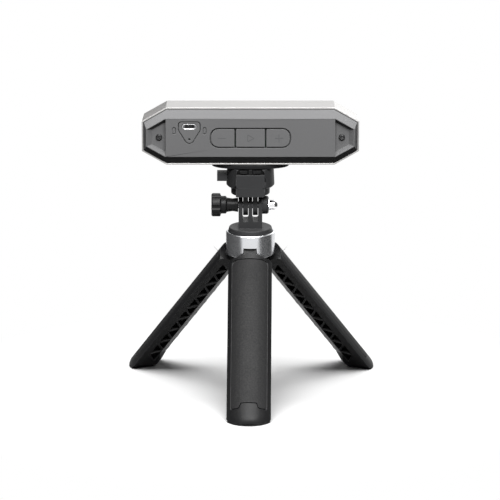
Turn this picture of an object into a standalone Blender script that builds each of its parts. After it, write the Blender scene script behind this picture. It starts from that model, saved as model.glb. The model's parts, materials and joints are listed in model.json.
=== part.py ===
"""Handheld three-d scanner standing on a quick-release clamp and a folding mini tripod.

Metres, +Z up. The scanner's rear cover with its buttons faces -Y and its lenses face +Y.
The tripod stands on z = 0 with its legs open, and the whole part is centred over the origin.
"""

import math

import bmesh
import bpy
from mathutils import Matrix, Vector

# Fits used by every piece
GAP = 0.0003
OVERRUN = 0.002
SHARP_ANGLE = 32.0

# Scanner housing: a long octagonal tube, seen from behind
SCANNER_WIDTH = 0.1546
SCANNER_HEIGHT = 0.0418
SCANNER_DEPTH = 0.0265
CORNER_WIDTH = 0.0173
CORNER_HEIGHT = 0.0099
SHELL_WALL = 0.0012
FRONT_TAPER = 0.0009

# Rear cover
COVER_RISE = 0.00505
COVER_SKIRT = 0.0040
COVER_WALL = 0.0018
COVER_END_SLOPE = 0.0018
COVER_CORNER_SLOPE = 0.0042
COVER_TOP_SLOPE = 0.0055
COVER_HOLLOW_EDGE = 0.0006

# Pocket with a screw at each end of the rear cover
RECESS_LENGTH = 0.01335
RECESS_LEDGE = 0.00045
RECESS_DEPTH = 0.0032
RECESS_FLOOR_WALL = 0.0015
RECESS_END_SLOPE = 0.0035
RECESS_SIDE_SLOPE = 0.0023
COVER_SCREW_INSET = 0.0123
COVER_SCREW_RADIUS = 0.0010
COVER_SCREW_LENGTH = 0.0085
COVER_SCREW_HEAD_RADIUS = 0.00225
COVER_SCREW_HEAD_HEIGHT = 0.0012
COVER_SCREW_CROSS_LENGTH = 0.0028
COVER_SCREW_CROSS_WIDTH = 0.0007
COVER_SCREW_CROSS_DEPTH = 0.0006

# Port panel: a triangle with round corners, point down
PORT_TO_BUTTONS = 0.01445
PORT_TOP = 0.0120
PORT_HALF_WIDTH = 0.0081
PORT_SIDE = 0.0066
PORT_POINT_DROP = 0.0130
PORT_CORNER_RADIUS = 0.0024
PORT_SIDE_RADIUS = 0.0020
PORT_POINT_RADIUS = 0.0034
PORT_GROOVE = 0.0007
PORT_SINK = 0.0003
PORT_LIP = 0.0009
PORT_LIP_THICKNESS = 0.0010
SOCKET_DROP = 0.0040
SOCKET_WIDTH = 0.0104
SOCKET_HEIGHT = 0.0038
SOCKET_THROAT_WIDTH = 0.0086
SOCKET_THROAT_HEIGHT = 0.0026
SOCKET_FLARE = 0.0003
SOCKET_THROAT_DEPTH = 0.0062
TONGUE_WIDTH = 0.0066
TONGUE_HEIGHT = 0.0008
TONGUE_SET_BACK = 0.0012
RESET_HOLE_RADIUS = 0.0008
RESET_HOLE_DROP = 0.0131
RESET_HOLE_DEPTH = 0.0020
CABLE_SLOT_SPACING = 0.0217
CABLE_SLOT_DROP = 0.0069
CABLE_SLOT_WIDTH = 0.0028
CABLE_SLOT_HEIGHT = 0.0055
CABLE_SLOT_DEPTH = 0.0009
CABLE_SLOT_RIM = 0.0006
CABLE_SLOT_ISLAND_SINK = 0.0003

# Button row
BUTTONS_WIDTH = 0.0579
BUTTONS_HEIGHT = 0.0148
BUTTONS_DROP = 0.0001
BUTTONS_RADIUS = 0.0062
BUTTON_INNER_RADIUS = 0.0006
BUTTON_GAP = 0.0010
BUTTON_DIVIDER = 0.0013
PLAY_BUTTON_WIDTH = 0.0203
BUTTON_LIP = 0.0009
BUTTON_LIP_THICKNESS = 0.0008
BUTTON_TRAVEL = 0.0006
BUTTON_SLACK = 0.00015
BUTTON_STEM_RADIUS = 0.0015

# Electronics behind the cover
BOARD_SET_BACK = 0.0085
BOARD_THICKNESS = 0.0016
BOARD_END_MARGIN = 0.0183
BOARD_EDGE_MARGIN = 0.0059
BOARD_SCREW_END_INSET = 0.0070
BOARD_SCREW_EDGE_INSET = 0.0028
BOARD_SCREW_RADIUS = 0.0009
BOARD_SCREW_HEAD_RADIUS = 0.0017
BOARD_SCREW_HEAD_HEIGHT = 0.0011
BOARD_SCREW_LENGTH = 0.0060
SWITCH_SIZE = 0.0060
SWITCH_HEIGHT = 0.0031
SWITCH_PLUNGER_RADIUS = 0.0016
SWITCH_PLUNGER_HEIGHT = 0.0006
HEAT_SINK_END_INSET = 0.0230
HEAT_SINK_WIDTH = 0.0260
HEAT_SINK_EDGE_INSET = 0.0050
HEAT_SINK_FIN_THICKNESS = 0.0012
HEAT_SINK_FIN_PITCH = 0.0040
HEAT_SINK_BASE = 0.0020

# Optics chassis, a machined plate across the housing
CHASSIS_THICKNESS = 0.0040
CHASSIS_FRONT = 0.0025
CHASSIS_POST_RADIUS = 0.0026
COVER_POST_RADIUS = 0.0031
BOSS_WIDTH = 0.0140
BOSS_DEPTH = 0.0112
BOSS_CLEARANCE = 0.0007
BOSS_ROOF = 0.0026
INSERT_RADIUS = 0.0045
INSERT_BORE_RADIUS = 0.0035

# Lens side
PANEL_THICKNESS = 0.0020
PANEL_SINK = 0.0003
CAMERA_INSET = 0.0223
CAMERA_BARREL_RADIUS = 0.0070
CAMERA_BORE_RADIUS = 0.0054
PROJECTOR_BARREL_RADIUS = 0.0078
PROJECTOR_BORE_RADIUS = 0.0062
COLOUR_BARREL_RADIUS = 0.0046
COLOUR_BORE_RADIUS = 0.0034
BARREL_FLOOR = 0.0020
LENS_SINK = 0.0007
LENS_THICKNESS = 0.0012
LENS_CROWN = 0.0009
FILL_LIGHT_PITCH = 0.0100
FILL_LIGHT_RADIUS = 0.0027

# Quick-release plate with a dovetail foot
PLATE_WIDTH = 0.0555
PLATE_DEPTH = 0.0270
PLATE_THICKNESS = 0.0032
PLATE_EDGE = 0.0005
PLATE_SQUARENESS = 2.3
FOOT_HEIGHT = 0.0039
FOOT_TOP_HALF_WIDTH = 0.0080
FOOT_HALF_WIDTH = 0.0098
FOOT_FLANK = 0.0021
FOOT_REAR = 0.0108
FOOT_FRONT = 0.0118
FOOT_TOOTH_REACH = 0.0028
FOOT_TOOTH_INNER = 0.0021
FOOT_TOOTH_OUTER = 0.0074
FOOT_TOOTH_HEIGHT = 0.0021
FOOT_TOOTH_DROP = 0.0010
FOOT_POST_HALF_WIDTH = 0.0012
PLATE_SCREW_RADIUS = 0.003175
PLATE_SCREW_REACH = 0.0060
PLATE_SCREW_HEAD_RADIUS = 0.0055
PLATE_SCREW_HEAD_HEIGHT = 0.0020
PLATE_SCREW_HEAD_SINK = 0.0003
PLATE_SCREW_SLOT_WIDTH = 0.0012
PLATE_SCREW_SLOT_DEPTH = 0.0010

# Clamp under the plate, measured up from the pivot axis
CLAMP_RISE = 0.0091
CLAMP_NECK_HEIGHT = 0.0054
CLAMP_HEAD_HEIGHT = 0.0146
CLAMP_NECK_RADIUS = 0.0139
CLAMP_HEAD_RADIUS = 0.0173
CLAMP_HEAD_TOP_RADIUS = 0.0167
CLAMP_HEAD_EDGE = 0.0012
CLAMP_BLOCK_HALF_WIDTH = 0.0104
CLAMP_BLOCK_HALF_DEPTH = 0.0142
CLAMP_BLOCK_EDGE = 0.0006
CHANNEL_FRONT = 0.0122
FINGER_INNER = 0.00165
FINGER_OUTER = 0.0053
PIVOT_RADIUS = 0.0075
PIVOT_BORE_RADIUS = 0.00285

# Release tab: pressing it in from the left moves the brake pad off the foot's right side
TAB_HALF_DEPTH = 0.0050
TAB_HEIGHT = 0.0060
TAB_DROP = 0.0044
TAB_REACH = 0.0239
TAB_HEAD_END = 0.0166
TAB_EDGE = 0.0006
TAB_BAR_HALF_DEPTH = 0.0030
TAB_BAR_HEIGHT = 0.0040
TAB_TRAVEL = 0.0020
PAD_THICKNESS = 0.0020
PAD_TOP_MARGIN = 0.0008
SPRING_RADIUS = 0.0019
SPRING_WIRE = 0.0004
SPRING_LENGTH = 0.0032
SPRING_TURNS = 3
SPRING_STEPS = 10

# Pivot mount: a disc with three prongs
PIVOT_RISE = 0.0192
PRONG_HALF_WIDTH = 0.0085
PRONG_SLOT_INNER = 0.00135
PRONG_SLOT_OUTER = 0.0056
PRONG_SLOT_DEPTH = 0.0108
PRONG_SLOT_RADIUS = 0.0013
DISC_RADIUS = 0.0157
DISC_SHOULDER_RADIUS = 0.0154
DISC_TOP_RADIUS = 0.0150
DISC_PROUD = 0.0031
DISC_SHOULDER_DROP = 0.0004
DISC_WAIST_DROP = 0.0020
DISC_SUNK = 0.0023
BOSS_REACH = 0.0046
BOSS_RADIUS = 0.00655
BOSS_CHAMFER = 0.0009
NUT_POCKET_DEPTH = 0.0031

# Thumb screw and nut on the pivot axis
KNOB_REACH = 0.0280
KNOB_HEAD_LENGTH = 0.0070
KNOB_HEAD_RADIUS = 0.0084
KNOB_HEAD_EDGE = 0.0008
KNOB_STEP_LENGTH = 0.0041
KNOB_STEP_RADIUS = 0.0064
KNOB_NECK_RADIUS = 0.0052
KNOB_WAIST_RADIUS = 0.0046
KNOB_GROOVES = 6
KNOB_GROOVE_RADIUS = 0.0021
KNOB_GROOVE_OFFSET = 0.0009
BOLT_RADIUS = 0.0025
BOLT_CLEARANCE = 0.0003
BOLT_EMBED = 0.0109
NUT_FLAT_RADIUS = 0.0040
NUT_HEX_LENGTH = 0.0030
NUT_DOME_RADIUS = 0.0038
NUT_REACH = 0.0199
NUT_BORE_DEPTH = 0.0070

# Collar and hub round the leg hinges
HINGE_HEIGHT = 0.1045
HINGE_RADIUS = 0.0130
COLLAR_RADIUS = 0.0176
COLLAR_WALL = 0.0015
COLLAR_HEIGHT = 0.01635
COLLAR_DROP = 0.00575
COLLAR_EDGE = 0.0007
NOTCH_HEIGHT = 0.0073
HUB_BOTTOM_SINK = 0.0008
HUB_TOP_DROP = 0.0035
HUB_SLOT_INNER = 0.0089
HUB_SLOT_HEADROOM = 0.0037
PIN_RADIUS = 0.00125
PIN_HALF_LENGTH = 0.0066
WASHER_THICKNESS = 0.0006
WASHER_RADIUS = 0.0125
CENTRE_SCREW_RADIUS = 0.0024
CENTRE_SCREW_REACH = 0.0030
CENTRE_SCREW_HEAD_RADIUS = 0.0043
CENTRE_SCREW_HEAD_HEIGHT = 0.0030
CENTRE_SCREW_HEAD_SINK = 0.0020
CENTRE_SCREW_SOCKET_RADIUS = 0.0020
CENTRE_SCREW_SOCKET_DEPTH = 0.0015

# Legs: three sectors of one round grip, splayed out from the hub
LEG_SPLAY = 39.0
LEG_DIRECTIONS = {"front": -90.8, "right": 29.2, "left": 149.2}
LEG_HALF_ANGLE = 60.0
LEG_RADIUS = 0.0184
LEG_SIDE_CLEARANCE = 0.00025
LEG_ARC_STEPS = 20
LEG_INNER_EDGE = 0.0030
FOOT_INNER_EDGE = 0.0010
FOOT_TOE_EDGE = 0.0020
FOOT_RAMP_HEIGHT = 0.0120
TOE_HEIGHT = 0.0060
TOE_STEPS = 4
LEG_SWING_CLEARANCE = 0.00035
SHOULDER_RADIUS = 0.0032
TONGUE_HALF_WIDTH = 0.00455
LEG_HINGE_RADIUS = 0.0026
TONGUE_SHOULDER_X = 0.0039
TONGUE_SHOULDER_DROP = 0.0060
TONGUE_ROOT = 0.0120
RIB_PITCH = 0.0128
RIB_THICKNESS = 0.0015
LATTICE_FOOT_MARGIN = 0.0170
LATTICE_TOP_DROP = 0.0120
POCKET_INNER = 0.0045
POCKET_OUTER = 0.0136
POCKET_DEPTH = 0.0040

# Rubber grip panel let into each leg
GRIP_HALF_ANGLE = 43.5
GRIP_THICKNESS = 0.0013
GRIP_GROOVE = 0.0005
GRIP_TOP_DROP = 0.0098
GRIP_TOP_RADIUS = 0.0034
GRIP_FOOT_MARGIN = 0.0192
GRIP_LOBE_LENGTH = 0.0036
GRIP_NOTCH_TOP_HALF_WIDTH = 0.0058
GRIP_NOTCH_HALF_WIDTH = 0.0071
GRIP_LOBE_RADIUS = 0.0018
GRIP_NOTCH_RADIUS = 0.0010
GRIP_ARC_STEPS = 14

# Rubber sole under each leg
SOLE_THICKNESS = 0.0012
SOLE_INSET = 0.0003
SOLE_EDGE = 0.0004

BOTTOM_SIDE = 6
ROUND_STEPS = 32
SMALL_ROUND_STEPS = 20
CORNER_STEPS = 4
STADIUM_ROUND_SHARE = 0.999

# Levels worked out from the sizes above
SCANNER_REAR = -SCANNER_DEPTH / 2
SCANNER_FRONT = SCANNER_DEPTH / 2
COVER_FACE = SCANNER_REAR - COVER_RISE
RECESS_FLOOR = COVER_FACE + RECESS_DEPTH
PORT_X = -BUTTONS_WIDTH / 2 - PORT_TO_BUTTONS
BOARD_WIDTH = SCANNER_WIDTH - 2 * BOARD_END_MARGIN
BOARD_HEIGHT = SCANNER_HEIGHT - 2 * BOARD_EDGE_MARGIN
HEAT_SINK_HEIGHT = BOARD_HEIGHT - 2 * HEAT_SINK_EDGE_INSET
BOARD_SCREW_X = BOARD_WIDTH / 2 - BOARD_SCREW_END_INSET
BOARD_SCREW_Z = BOARD_HEIGHT / 2 - BOARD_SCREW_EDGE_INSET
HEAT_SINK_X = BOARD_WIDTH / 2 - HEAT_SINK_END_INSET
CAMERA_X = SCANNER_WIDTH / 2 - CAMERA_INSET
COLOUR_CAMERA_X = CAMERA_X / 2
FILL_LIGHT_OUTER_X = -CAMERA_X / 2 - FILL_LIGHT_PITCH / 2
FILL_LIGHT_INNER_X = -CAMERA_X / 2 + FILL_LIGHT_PITCH / 2
BOSS_TOP = -PROJECTOR_BARREL_RADIUS - BOSS_CLEARANCE
INSERT_TOP = BOSS_TOP - BOSS_ROOF
BOARD_REAR = COVER_FACE + BOARD_SET_BACK
BOARD_FRONT = BOARD_REAR + BOARD_THICKNESS
CHASSIS_REAR = CHASSIS_FRONT - CHASSIS_THICKNESS
PANEL_FACE = SCANNER_FRONT - PANEL_SINK
PANEL_BACK = PANEL_FACE - PANEL_THICKNESS
COVER_SCREW_X = SCANNER_WIDTH / 2 - COVER_SCREW_INSET
CLAMP_HEAD_BOTTOM = CLAMP_RISE + CLAMP_NECK_HEIGHT
CLAMP_TOP = CLAMP_HEAD_BOTTOM + CLAMP_HEAD_HEIGHT
PLATE_BOTTOM = CLAMP_TOP + GAP
PLATE_TOP = PLATE_BOTTOM + PLATE_THICKNESS
SCANNER_CENTRE = PLATE_TOP + GAP + SCANNER_HEIGHT / 2
FOOT_TOP = PLATE_BOTTOM - GAP
FOOT_BOTTOM = PLATE_BOTTOM - FOOT_HEIGHT
CHANNEL_HALF_WIDTH = FOOT_HALF_WIDTH + GAP
COLLAR_BOTTOM = HINGE_HEIGHT - COLLAR_DROP
COLLAR_TOP = COLLAR_BOTTOM + COLLAR_HEIGHT
PIVOT_HEIGHT = COLLAR_TOP + PIVOT_RISE
DISC_TOP = DISC_PROUD - PIVOT_RISE
DISC_BOTTOM = -DISC_SUNK - PIVOT_RISE
LEG_REACH = (HINGE_HEIGHT + (LEG_RADIUS - HINGE_RADIUS) * math.sin(math.radians(LEG_SPLAY))) / math.cos(
    math.radians(LEG_SPLAY))
GRIP_BOTTOM_DROP = LEG_REACH - GRIP_FOOT_MARGIN
HUB_RADIUS = COLLAR_RADIUS - COLLAR_WALL - GAP
HUB_BOTTOM = COLLAR_BOTTOM + HUB_BOTTOM_SINK
HUB_TOP = COLLAR_TOP - HUB_TOP_DROP
WASHER_BOTTOM = HUB_TOP + GAP

FINISHES = {
    "silver": ((0.62, 0.61, 0.60), 0.34, 0.85),
    "cover_grey": ((0.16, 0.16, 0.165), 0.55, 0.10),
    "black_plastic": ((0.028, 0.029, 0.031), 0.50, 0.0),
    "mount_plastic": ((0.060, 0.061, 0.064), 0.48, 0.0),
    "gloss_black": ((0.008, 0.008, 0.010), 0.08, 0.0),
    "rubber": ((0.045, 0.045, 0.047), 0.80, 0.0),
    "steel": ((0.55, 0.55, 0.56), 0.30, 1.0),
    "chrome": ((0.85, 0.85, 0.86), 0.08, 1.0),
    "collar_metal": ((0.72, 0.73, 0.75), 0.28, 1.0),
    "brass": ((0.70, 0.52, 0.25), 0.30, 1.0),
    "board_green": ((0.02, 0.12, 0.05), 0.50, 0.0),
    "aluminium": ((0.72, 0.73, 0.74), 0.35, 1.0),
    "lens_glass": ((0.03, 0.02, 0.06), 0.05, 0.0),
    "lamp_white": ((0.80, 0.80, 0.76), 0.25, 0.0),
}


# Outlines


def arc_points(centre, radius, start, end, steps):
    """Points on an arc, in degrees, with both ends."""
    points = []
    for step in range(steps + 1):
        angle = math.radians(start + (end - start) * step / steps)
        points.append((centre[0] + radius * math.cos(angle), centre[1] + radius * math.sin(angle)))
    return points


def circle_points(centre, radius, steps):
    return arc_points(centre, radius, 0.0, 360.0, steps)[:-1]


def rectangle(low, high):
    return [(low[0], low[1]), (high[0], low[1]), (high[0], high[1]), (low[0], high[1])]


def offset_outline(points, distances):
    """Move each side of a counter-clockwise outline inwards; a negative distance moves it out."""
    count = len(points)
    if not isinstance(distances, (list, tuple)):
        distances = [distances] * count
    lines = []
    for index in range(count):
        start = Vector(points[index])
        along = (Vector(points[(index + 1) % count]) - start).normalized()
        inward = Vector((-along.y, along.x))
        lines.append((start + inward * distances[index], along))
    moved = []
    for index in range(count):
        first, first_along = lines[index - 1]
        second, second_along = lines[index]
        cross = first_along.cross(second_along)
        reach = (second - first).cross(second_along) / cross
        moved.append(tuple(first + first_along * reach))
    return moved


def rounded(points, radii, steps=CORNER_STEPS):
    """Replace each corner of an outline by an arc; a radius of zero leaves it sharp."""
    count = len(points)
    if not isinstance(radii, (list, tuple)):
        radii = [radii] * count
    result = []
    for index in range(count):
        corner = Vector(points[index])
        radius = radii[index]
        if radius == 0:
            result.append(tuple(corner))
            continue
        before = (Vector(points[index - 1]) - corner).normalized()
        after = (Vector(points[(index + 1) % count]) - corner).normalized()
        half = before.angle(after) / 2
        centre = corner + (before + after).normalized() * (radius / math.sin(half))
        start = corner + before * (radius / math.tan(half)) - centre
        end = corner + after * (radius / math.tan(half)) - centre
        turn = start.angle_signed(end)
        for step in range(steps + 1):
            spoke = start.copy()
            spoke.rotate(Matrix.Rotation(-turn * step / steps, 2))
            result.append(tuple(centre + spoke))
    return result


def stadium(width, height, centre=(0, 0)):
    """A slot outline with round ends."""
    radius = min(width, height) / 2
    low = (centre[0] - width / 2, centre[1] - height / 2)
    high = (centre[0] + width / 2, centre[1] + height / 2)
    return rounded(rectangle(low, high), radius * STADIUM_ROUND_SHARE)


# Solids


AXIS_ORDER = {
    "x": lambda first, second, level: (level, first, second),
    "y": lambda first, second, level: (first, level, second),
    "z": lambda first, second, level: (first, second, level),
}


def link_mesh(mesh):
    """Turn a finished mesh into an object with its faces turned outwards."""
    bmesh.ops.recalc_face_normals(mesh, faces=mesh.faces)
    data = bpy.data.meshes.new("solid")
    mesh.to_mesh(data)
    mesh.free()
    item = bpy.data.objects.new("solid", data)
    bpy.context.scene.collection.objects.link(item)
    return item


def skin(rings):
    """A solid whose skin runs through rings of equally many points and is capped at both ends."""
    mesh = bmesh.new()
    loops = [[mesh.verts.new(point) for point in ring] for ring in rings]
    for lower, upper in zip(loops, loops[1:]):
        for index, corner in enumerate(lower):
            mesh.faces.new((lower[index - 1], corner, upper[index], upper[index - 1]))
    mesh.faces.new(loops[0])
    mesh.faces.new(loops[-1])
    return link_mesh(mesh)


def loft(sections, axis):
    """A solid through outlines at levels along one axis; each outline has as many points."""
    place = AXIS_ORDER[axis]
    return skin([[place(first, second, level) for first, second in outline] for outline, level in sections])


def prism(outline, start, end, axis):
    return loft([(outline, start), (outline, end)], axis)


def box(low, high):
    return prism(rectangle(low[:2], high[:2]), low[2], high[2], "z")


def turned(profile, steps=ROUND_STEPS, axis="z", closed=False):
    """Spin a profile of (radius, height) points about one axis."""
    mesh = bmesh.new()
    verts = [mesh.verts.new((radius, 0, height)) for radius, height in profile]
    pairs = list(zip(verts, verts[1:]))
    if closed:
        pairs.append((verts[-1], verts[0]))
    edges = [mesh.edges.new(pair) for pair in pairs]
    bmesh.ops.spin(mesh, geom=verts + edges, cent=(0, 0, 0), axis=(0, 0, 1),
                   angle=math.tau, steps=steps, use_merge=True)
    smallest = min(radius for radius, _ in profile if radius > 0) / ROUND_STEPS ** 2
    bmesh.ops.remove_doubles(mesh, verts=mesh.verts, dist=smallest)
    turns = {"x": Matrix.Rotation(math.pi / 2, 4, "Y"), "y": Matrix.Rotation(-math.pi / 2, 4, "X"),
             "z": Matrix.Identity(4)}
    bmesh.ops.transform(mesh, matrix=turns[axis], verts=mesh.verts)
    return link_mesh(mesh)


def rod(radius, start, end, axis="z", centre=(0, 0), steps=SMALL_ROUND_STEPS):
    """A round bar along one axis, its centre given in the other two."""
    return prism(circle_points(centre, radius, steps), start, end, axis)


def combine(target, tools, operation):
    """Join, cut or trim a solid with others and keep only the result."""
    for tool in tools:
        modifier = target.modifiers.new(operation, "BOOLEAN")
        modifier.operation = operation
        modifier.object = tool
    graph = bpy.context.evaluated_depsgraph_get()
    data = bpy.data.meshes.new_from_object(target.evaluated_get(graph))
    target.modifiers.clear()
    target.data = data
    for tool in tools:
        bpy.data.objects.remove(tool)
    return target


def cut(target, *tools):
    return combine(target, tools, "DIFFERENCE")


def join(target, *tools):
    return combine(target, tools, "UNION")


def trim(target, *tools):
    return combine(target, tools, "INTERSECT")


def finish(item, name, finish_name, parent):
    """Name a solid, give it its material and hang it on its parent."""
    colour, roughness, metallic = FINISHES[finish_name]
    material = bpy.data.materials.new(name)
    material.use_nodes = True
    shader = material.node_tree.nodes["Principled BSDF"]
    shader.inputs["Base Color"].default_value = (*colour, 1)
    shader.inputs["Roughness"].default_value = roughness
    shader.inputs["Metallic"].default_value = metallic
    item.name = name
    item.data.name = name
    item.data.materials.clear()
    item.data.materials.append(material)
    item.data.shade_smooth()
    item.data.set_sharp_from_angle(angle=math.radians(SHARP_ANGLE))
    item.parent = parent
    return item


def empty(name, parent, location=(0, 0, 0), rotation=(0, 0, 0)):
    """A joint's axis or a group's place."""
    item = bpy.data.objects.new(name, None)
    bpy.context.scene.collection.objects.link(item)
    item.parent = parent
    item.location = location
    item.rotation_euler = rotation
    return item


# Scanner housing and rear cover


def octagon(half_width, half_height, corner_width, corner_height):
    """Long octagon, counter-clockwise from the lower right, one side of each end upright."""
    straight = half_width - corner_width
    upright = half_height - corner_height
    return [(half_width, -upright), (half_width, upright), (straight, half_height),
            (-straight, half_height), (-half_width, upright), (-half_width, -upright),
            (-straight, -half_height), (straight, -half_height)]


def shell_outline(level, inset):
    """The housing's outline at a depth, moved in from its outer faces. Its bottom stays level."""
    taper = FRONT_TAPER * (level - SCANNER_REAR) / SCANNER_DEPTH
    whole = octagon(SCANNER_WIDTH / 2, SCANNER_HEIGHT / 2, CORNER_WIDTH, CORNER_HEIGHT)
    return offset_outline(whole, [inset + (0 if side == BOTTOM_SIDE else taper) for side in range(len(whole))])


def cover_face_outline():
    """The flat rear face, inside the slopes that run round it."""
    end, corner, top = COVER_END_SLOPE, COVER_CORNER_SLOPE, COVER_TOP_SLOPE
    slopes = [end, corner, top, corner, end, corner, top, corner]
    return offset_outline(shell_outline(SCANNER_REAR, SHELL_WALL + GAP), slopes)


def recess_outlines(side):
    """The end pocket's mouth and floor, side 1 on the right and -1 on the left."""
    right = offset_outline(cover_face_outline(), RECESS_LEDGE)
    low, high, top, bottom = right[0], right[1], right[2], right[7]
    inner = high[0] - RECESS_LENGTH
    rise = (top[1] - high[1]) * (high[0] - inner) / (high[0] - top[0])
    mouth = [(inner, low[1] - rise), low, high, (inner, high[1] + rise)]
    floor = offset_outline(mouth, [RECESS_SIDE_SLOPE, RECESS_END_SLOPE, RECESS_SIDE_SLOPE, 0])
    if side < 0:
        mouth = [(-x, z) for x, z in mouth]
        floor = [(-x, z) for x, z in floor]
    return mouth, floor


def port_outline(inset):
    left, right = PORT_X - PORT_HALF_WIDTH, PORT_X + PORT_HALF_WIDTH
    side_end = PORT_TOP - PORT_SIDE
    corners = [(PORT_X, side_end - PORT_POINT_DROP), (right, side_end), (right, PORT_TOP),
               (left, PORT_TOP), (left, side_end)]
    radii = [PORT_POINT_RADIUS, PORT_SIDE_RADIUS, PORT_CORNER_RADIUS, PORT_CORNER_RADIUS, PORT_SIDE_RADIUS]
    return rounded(offset_outline(corners, inset), [radius - inset for radius in radii])


def button_outlines():
    """Each button's rectangle as (low corner, high corner), left to right."""
    half_width = BUTTONS_WIDTH / 2 - BUTTON_GAP
    low = -BUTTONS_DROP - BUTTONS_HEIGHT / 2 + BUTTON_GAP
    high = -BUTTONS_DROP + BUTTONS_HEIGHT / 2 - BUTTON_GAP
    play = PLAY_BUTTON_WIDTH / 2
    return {
        "button_minus": ((-half_width, low), (-play - BUTTON_DIVIDER, high)),
        "button_play": ((-play, low), (play, high)),
        "button_plus": ((play + BUTTON_DIVIDER, low), (half_width, high)),
    }


def make_housing(parent):
    shell = loft([(shell_outline(SCANNER_REAR, 0), SCANNER_REAR),
                  (shell_outline(SCANNER_FRONT, 0), SCANNER_FRONT)], "y")
    rear, front = SCANNER_REAR - OVERRUN, SCANNER_FRONT + OVERRUN
    cut(shell,
        loft([(shell_outline(rear, SHELL_WALL), rear), (shell_outline(front, SHELL_WALL), front)], "y"),
        rod(INSERT_RADIUS + GAP, -SCANNER_HEIGHT / 2 - OVERRUN, -SCANNER_HEIGHT / 2 + SHELL_WALL + OVERRUN))
    finish(shell, "housing_shell", "silver", parent)


def make_rear_cover(parent):
    skirt_end = SCANNER_REAR + COVER_SKIRT
    hollow_end = RECESS_FLOOR + RECESS_FLOOR_WALL
    fit = SHELL_WALL + GAP
    face = cover_face_outline()
    cover = loft([(shell_outline(skirt_end, fit), skirt_end),
                  (shell_outline(SCANNER_REAR, fit), SCANNER_REAR),
                  (face, COVER_FACE)], "y")
    inside = shell_outline(SCANNER_REAR, fit + COVER_WALL)
    face_half_height = face[2][1] - COVER_HOLLOW_EDGE
    face_half_width = recess_outlines(1)[0][0][0] - COVER_WALL
    cut(cover, prism(inside, hollow_end, skirt_end + OVERRUN, "y"))
    cut(cover, box((-face_half_width, COVER_FACE + COVER_WALL, -face_half_height),
                   (face_half_width, hollow_end + OVERRUN, face_half_height)))
    for side in (1, -1):
        mouth, floor = recess_outlines(side)
        cut(cover, loft([(floor, RECESS_FLOOR), (mouth, COVER_FACE), (mouth, COVER_FACE - OVERRUN)], "y"))
        cut(cover, rod(COVER_SCREW_RADIUS + GAP, RECESS_FLOOR - OVERRUN, hollow_end + OVERRUN, "y",
                       (side * COVER_SCREW_X, 0)))
    button_centre = (0, -BUTTONS_DROP)
    low = (-BUTTONS_WIDTH / 2, button_centre[1] - BUTTONS_HEIGHT / 2)
    high = (BUTTONS_WIDTH / 2, button_centre[1] + BUTTONS_HEIGHT / 2)
    through = (COVER_FACE - OVERRUN, COVER_FACE + COVER_WALL + OVERRUN)
    cut(cover, prism(rounded(rectangle(low, high), BUTTONS_RADIUS), *through, "y"))
    cut(cover, prism(port_outline(0), *through, "y"))
    cut(cover, prism(port_outline(-PORT_LIP - GAP), through[1] - OVERRUN, hollow_end + OVERRUN, "y"))
    for side in (1, -1):
        centre = (PORT_X + side * CABLE_SLOT_SPACING / 2, PORT_TOP - CABLE_SLOT_DROP)
        slot_floor = COVER_FACE + CABLE_SLOT_DEPTH
        cut(cover, prism(stadium(CABLE_SLOT_WIDTH, CABLE_SLOT_HEIGHT, centre),
                         COVER_FACE - OVERRUN, slot_floor, "y"))
        island = stadium(CABLE_SLOT_WIDTH - 2 * CABLE_SLOT_RIM, CABLE_SLOT_HEIGHT - 2 * CABLE_SLOT_RIM, centre)
        join(cover, prism(island, COVER_FACE + CABLE_SLOT_ISLAND_SINK, slot_floor + GAP, "y"))
    finish(cover, "rear_cover", "cover_grey", parent)


def make_cover_screws(parent):
    for name, side in (("cover_screw_right", 1), ("cover_screw_left", -1)):
        head_base = RECESS_FLOOR - GAP
        head_top = head_base - COVER_SCREW_HEAD_HEIGHT
        screw = turned([(0, head_top), (COVER_SCREW_HEAD_RADIUS - COVER_SCREW_HEAD_HEIGHT / 2, head_top),
                        (COVER_SCREW_HEAD_RADIUS, head_top + COVER_SCREW_HEAD_HEIGHT / 2),
                        (COVER_SCREW_HEAD_RADIUS, head_base), (COVER_SCREW_RADIUS, head_base),
                        (COVER_SCREW_RADIUS, head_base + COVER_SCREW_LENGTH),
                        (0, head_base + COVER_SCREW_LENGTH)], SMALL_ROUND_STEPS, "y")
        half_length, half_width = COVER_SCREW_CROSS_LENGTH / 2, COVER_SCREW_CROSS_WIDTH / 2
        floor = head_top + COVER_SCREW_CROSS_DEPTH
        cut(screw,
            box((-half_length, head_top - OVERRUN, -half_width), (half_length, floor, half_width)),
            box((-half_width, head_top - OVERRUN, -half_length), (half_width, floor, half_length)))
        finish(screw, name, "black_plastic", parent).location = (side * COVER_SCREW_X, 0, 0)


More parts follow.
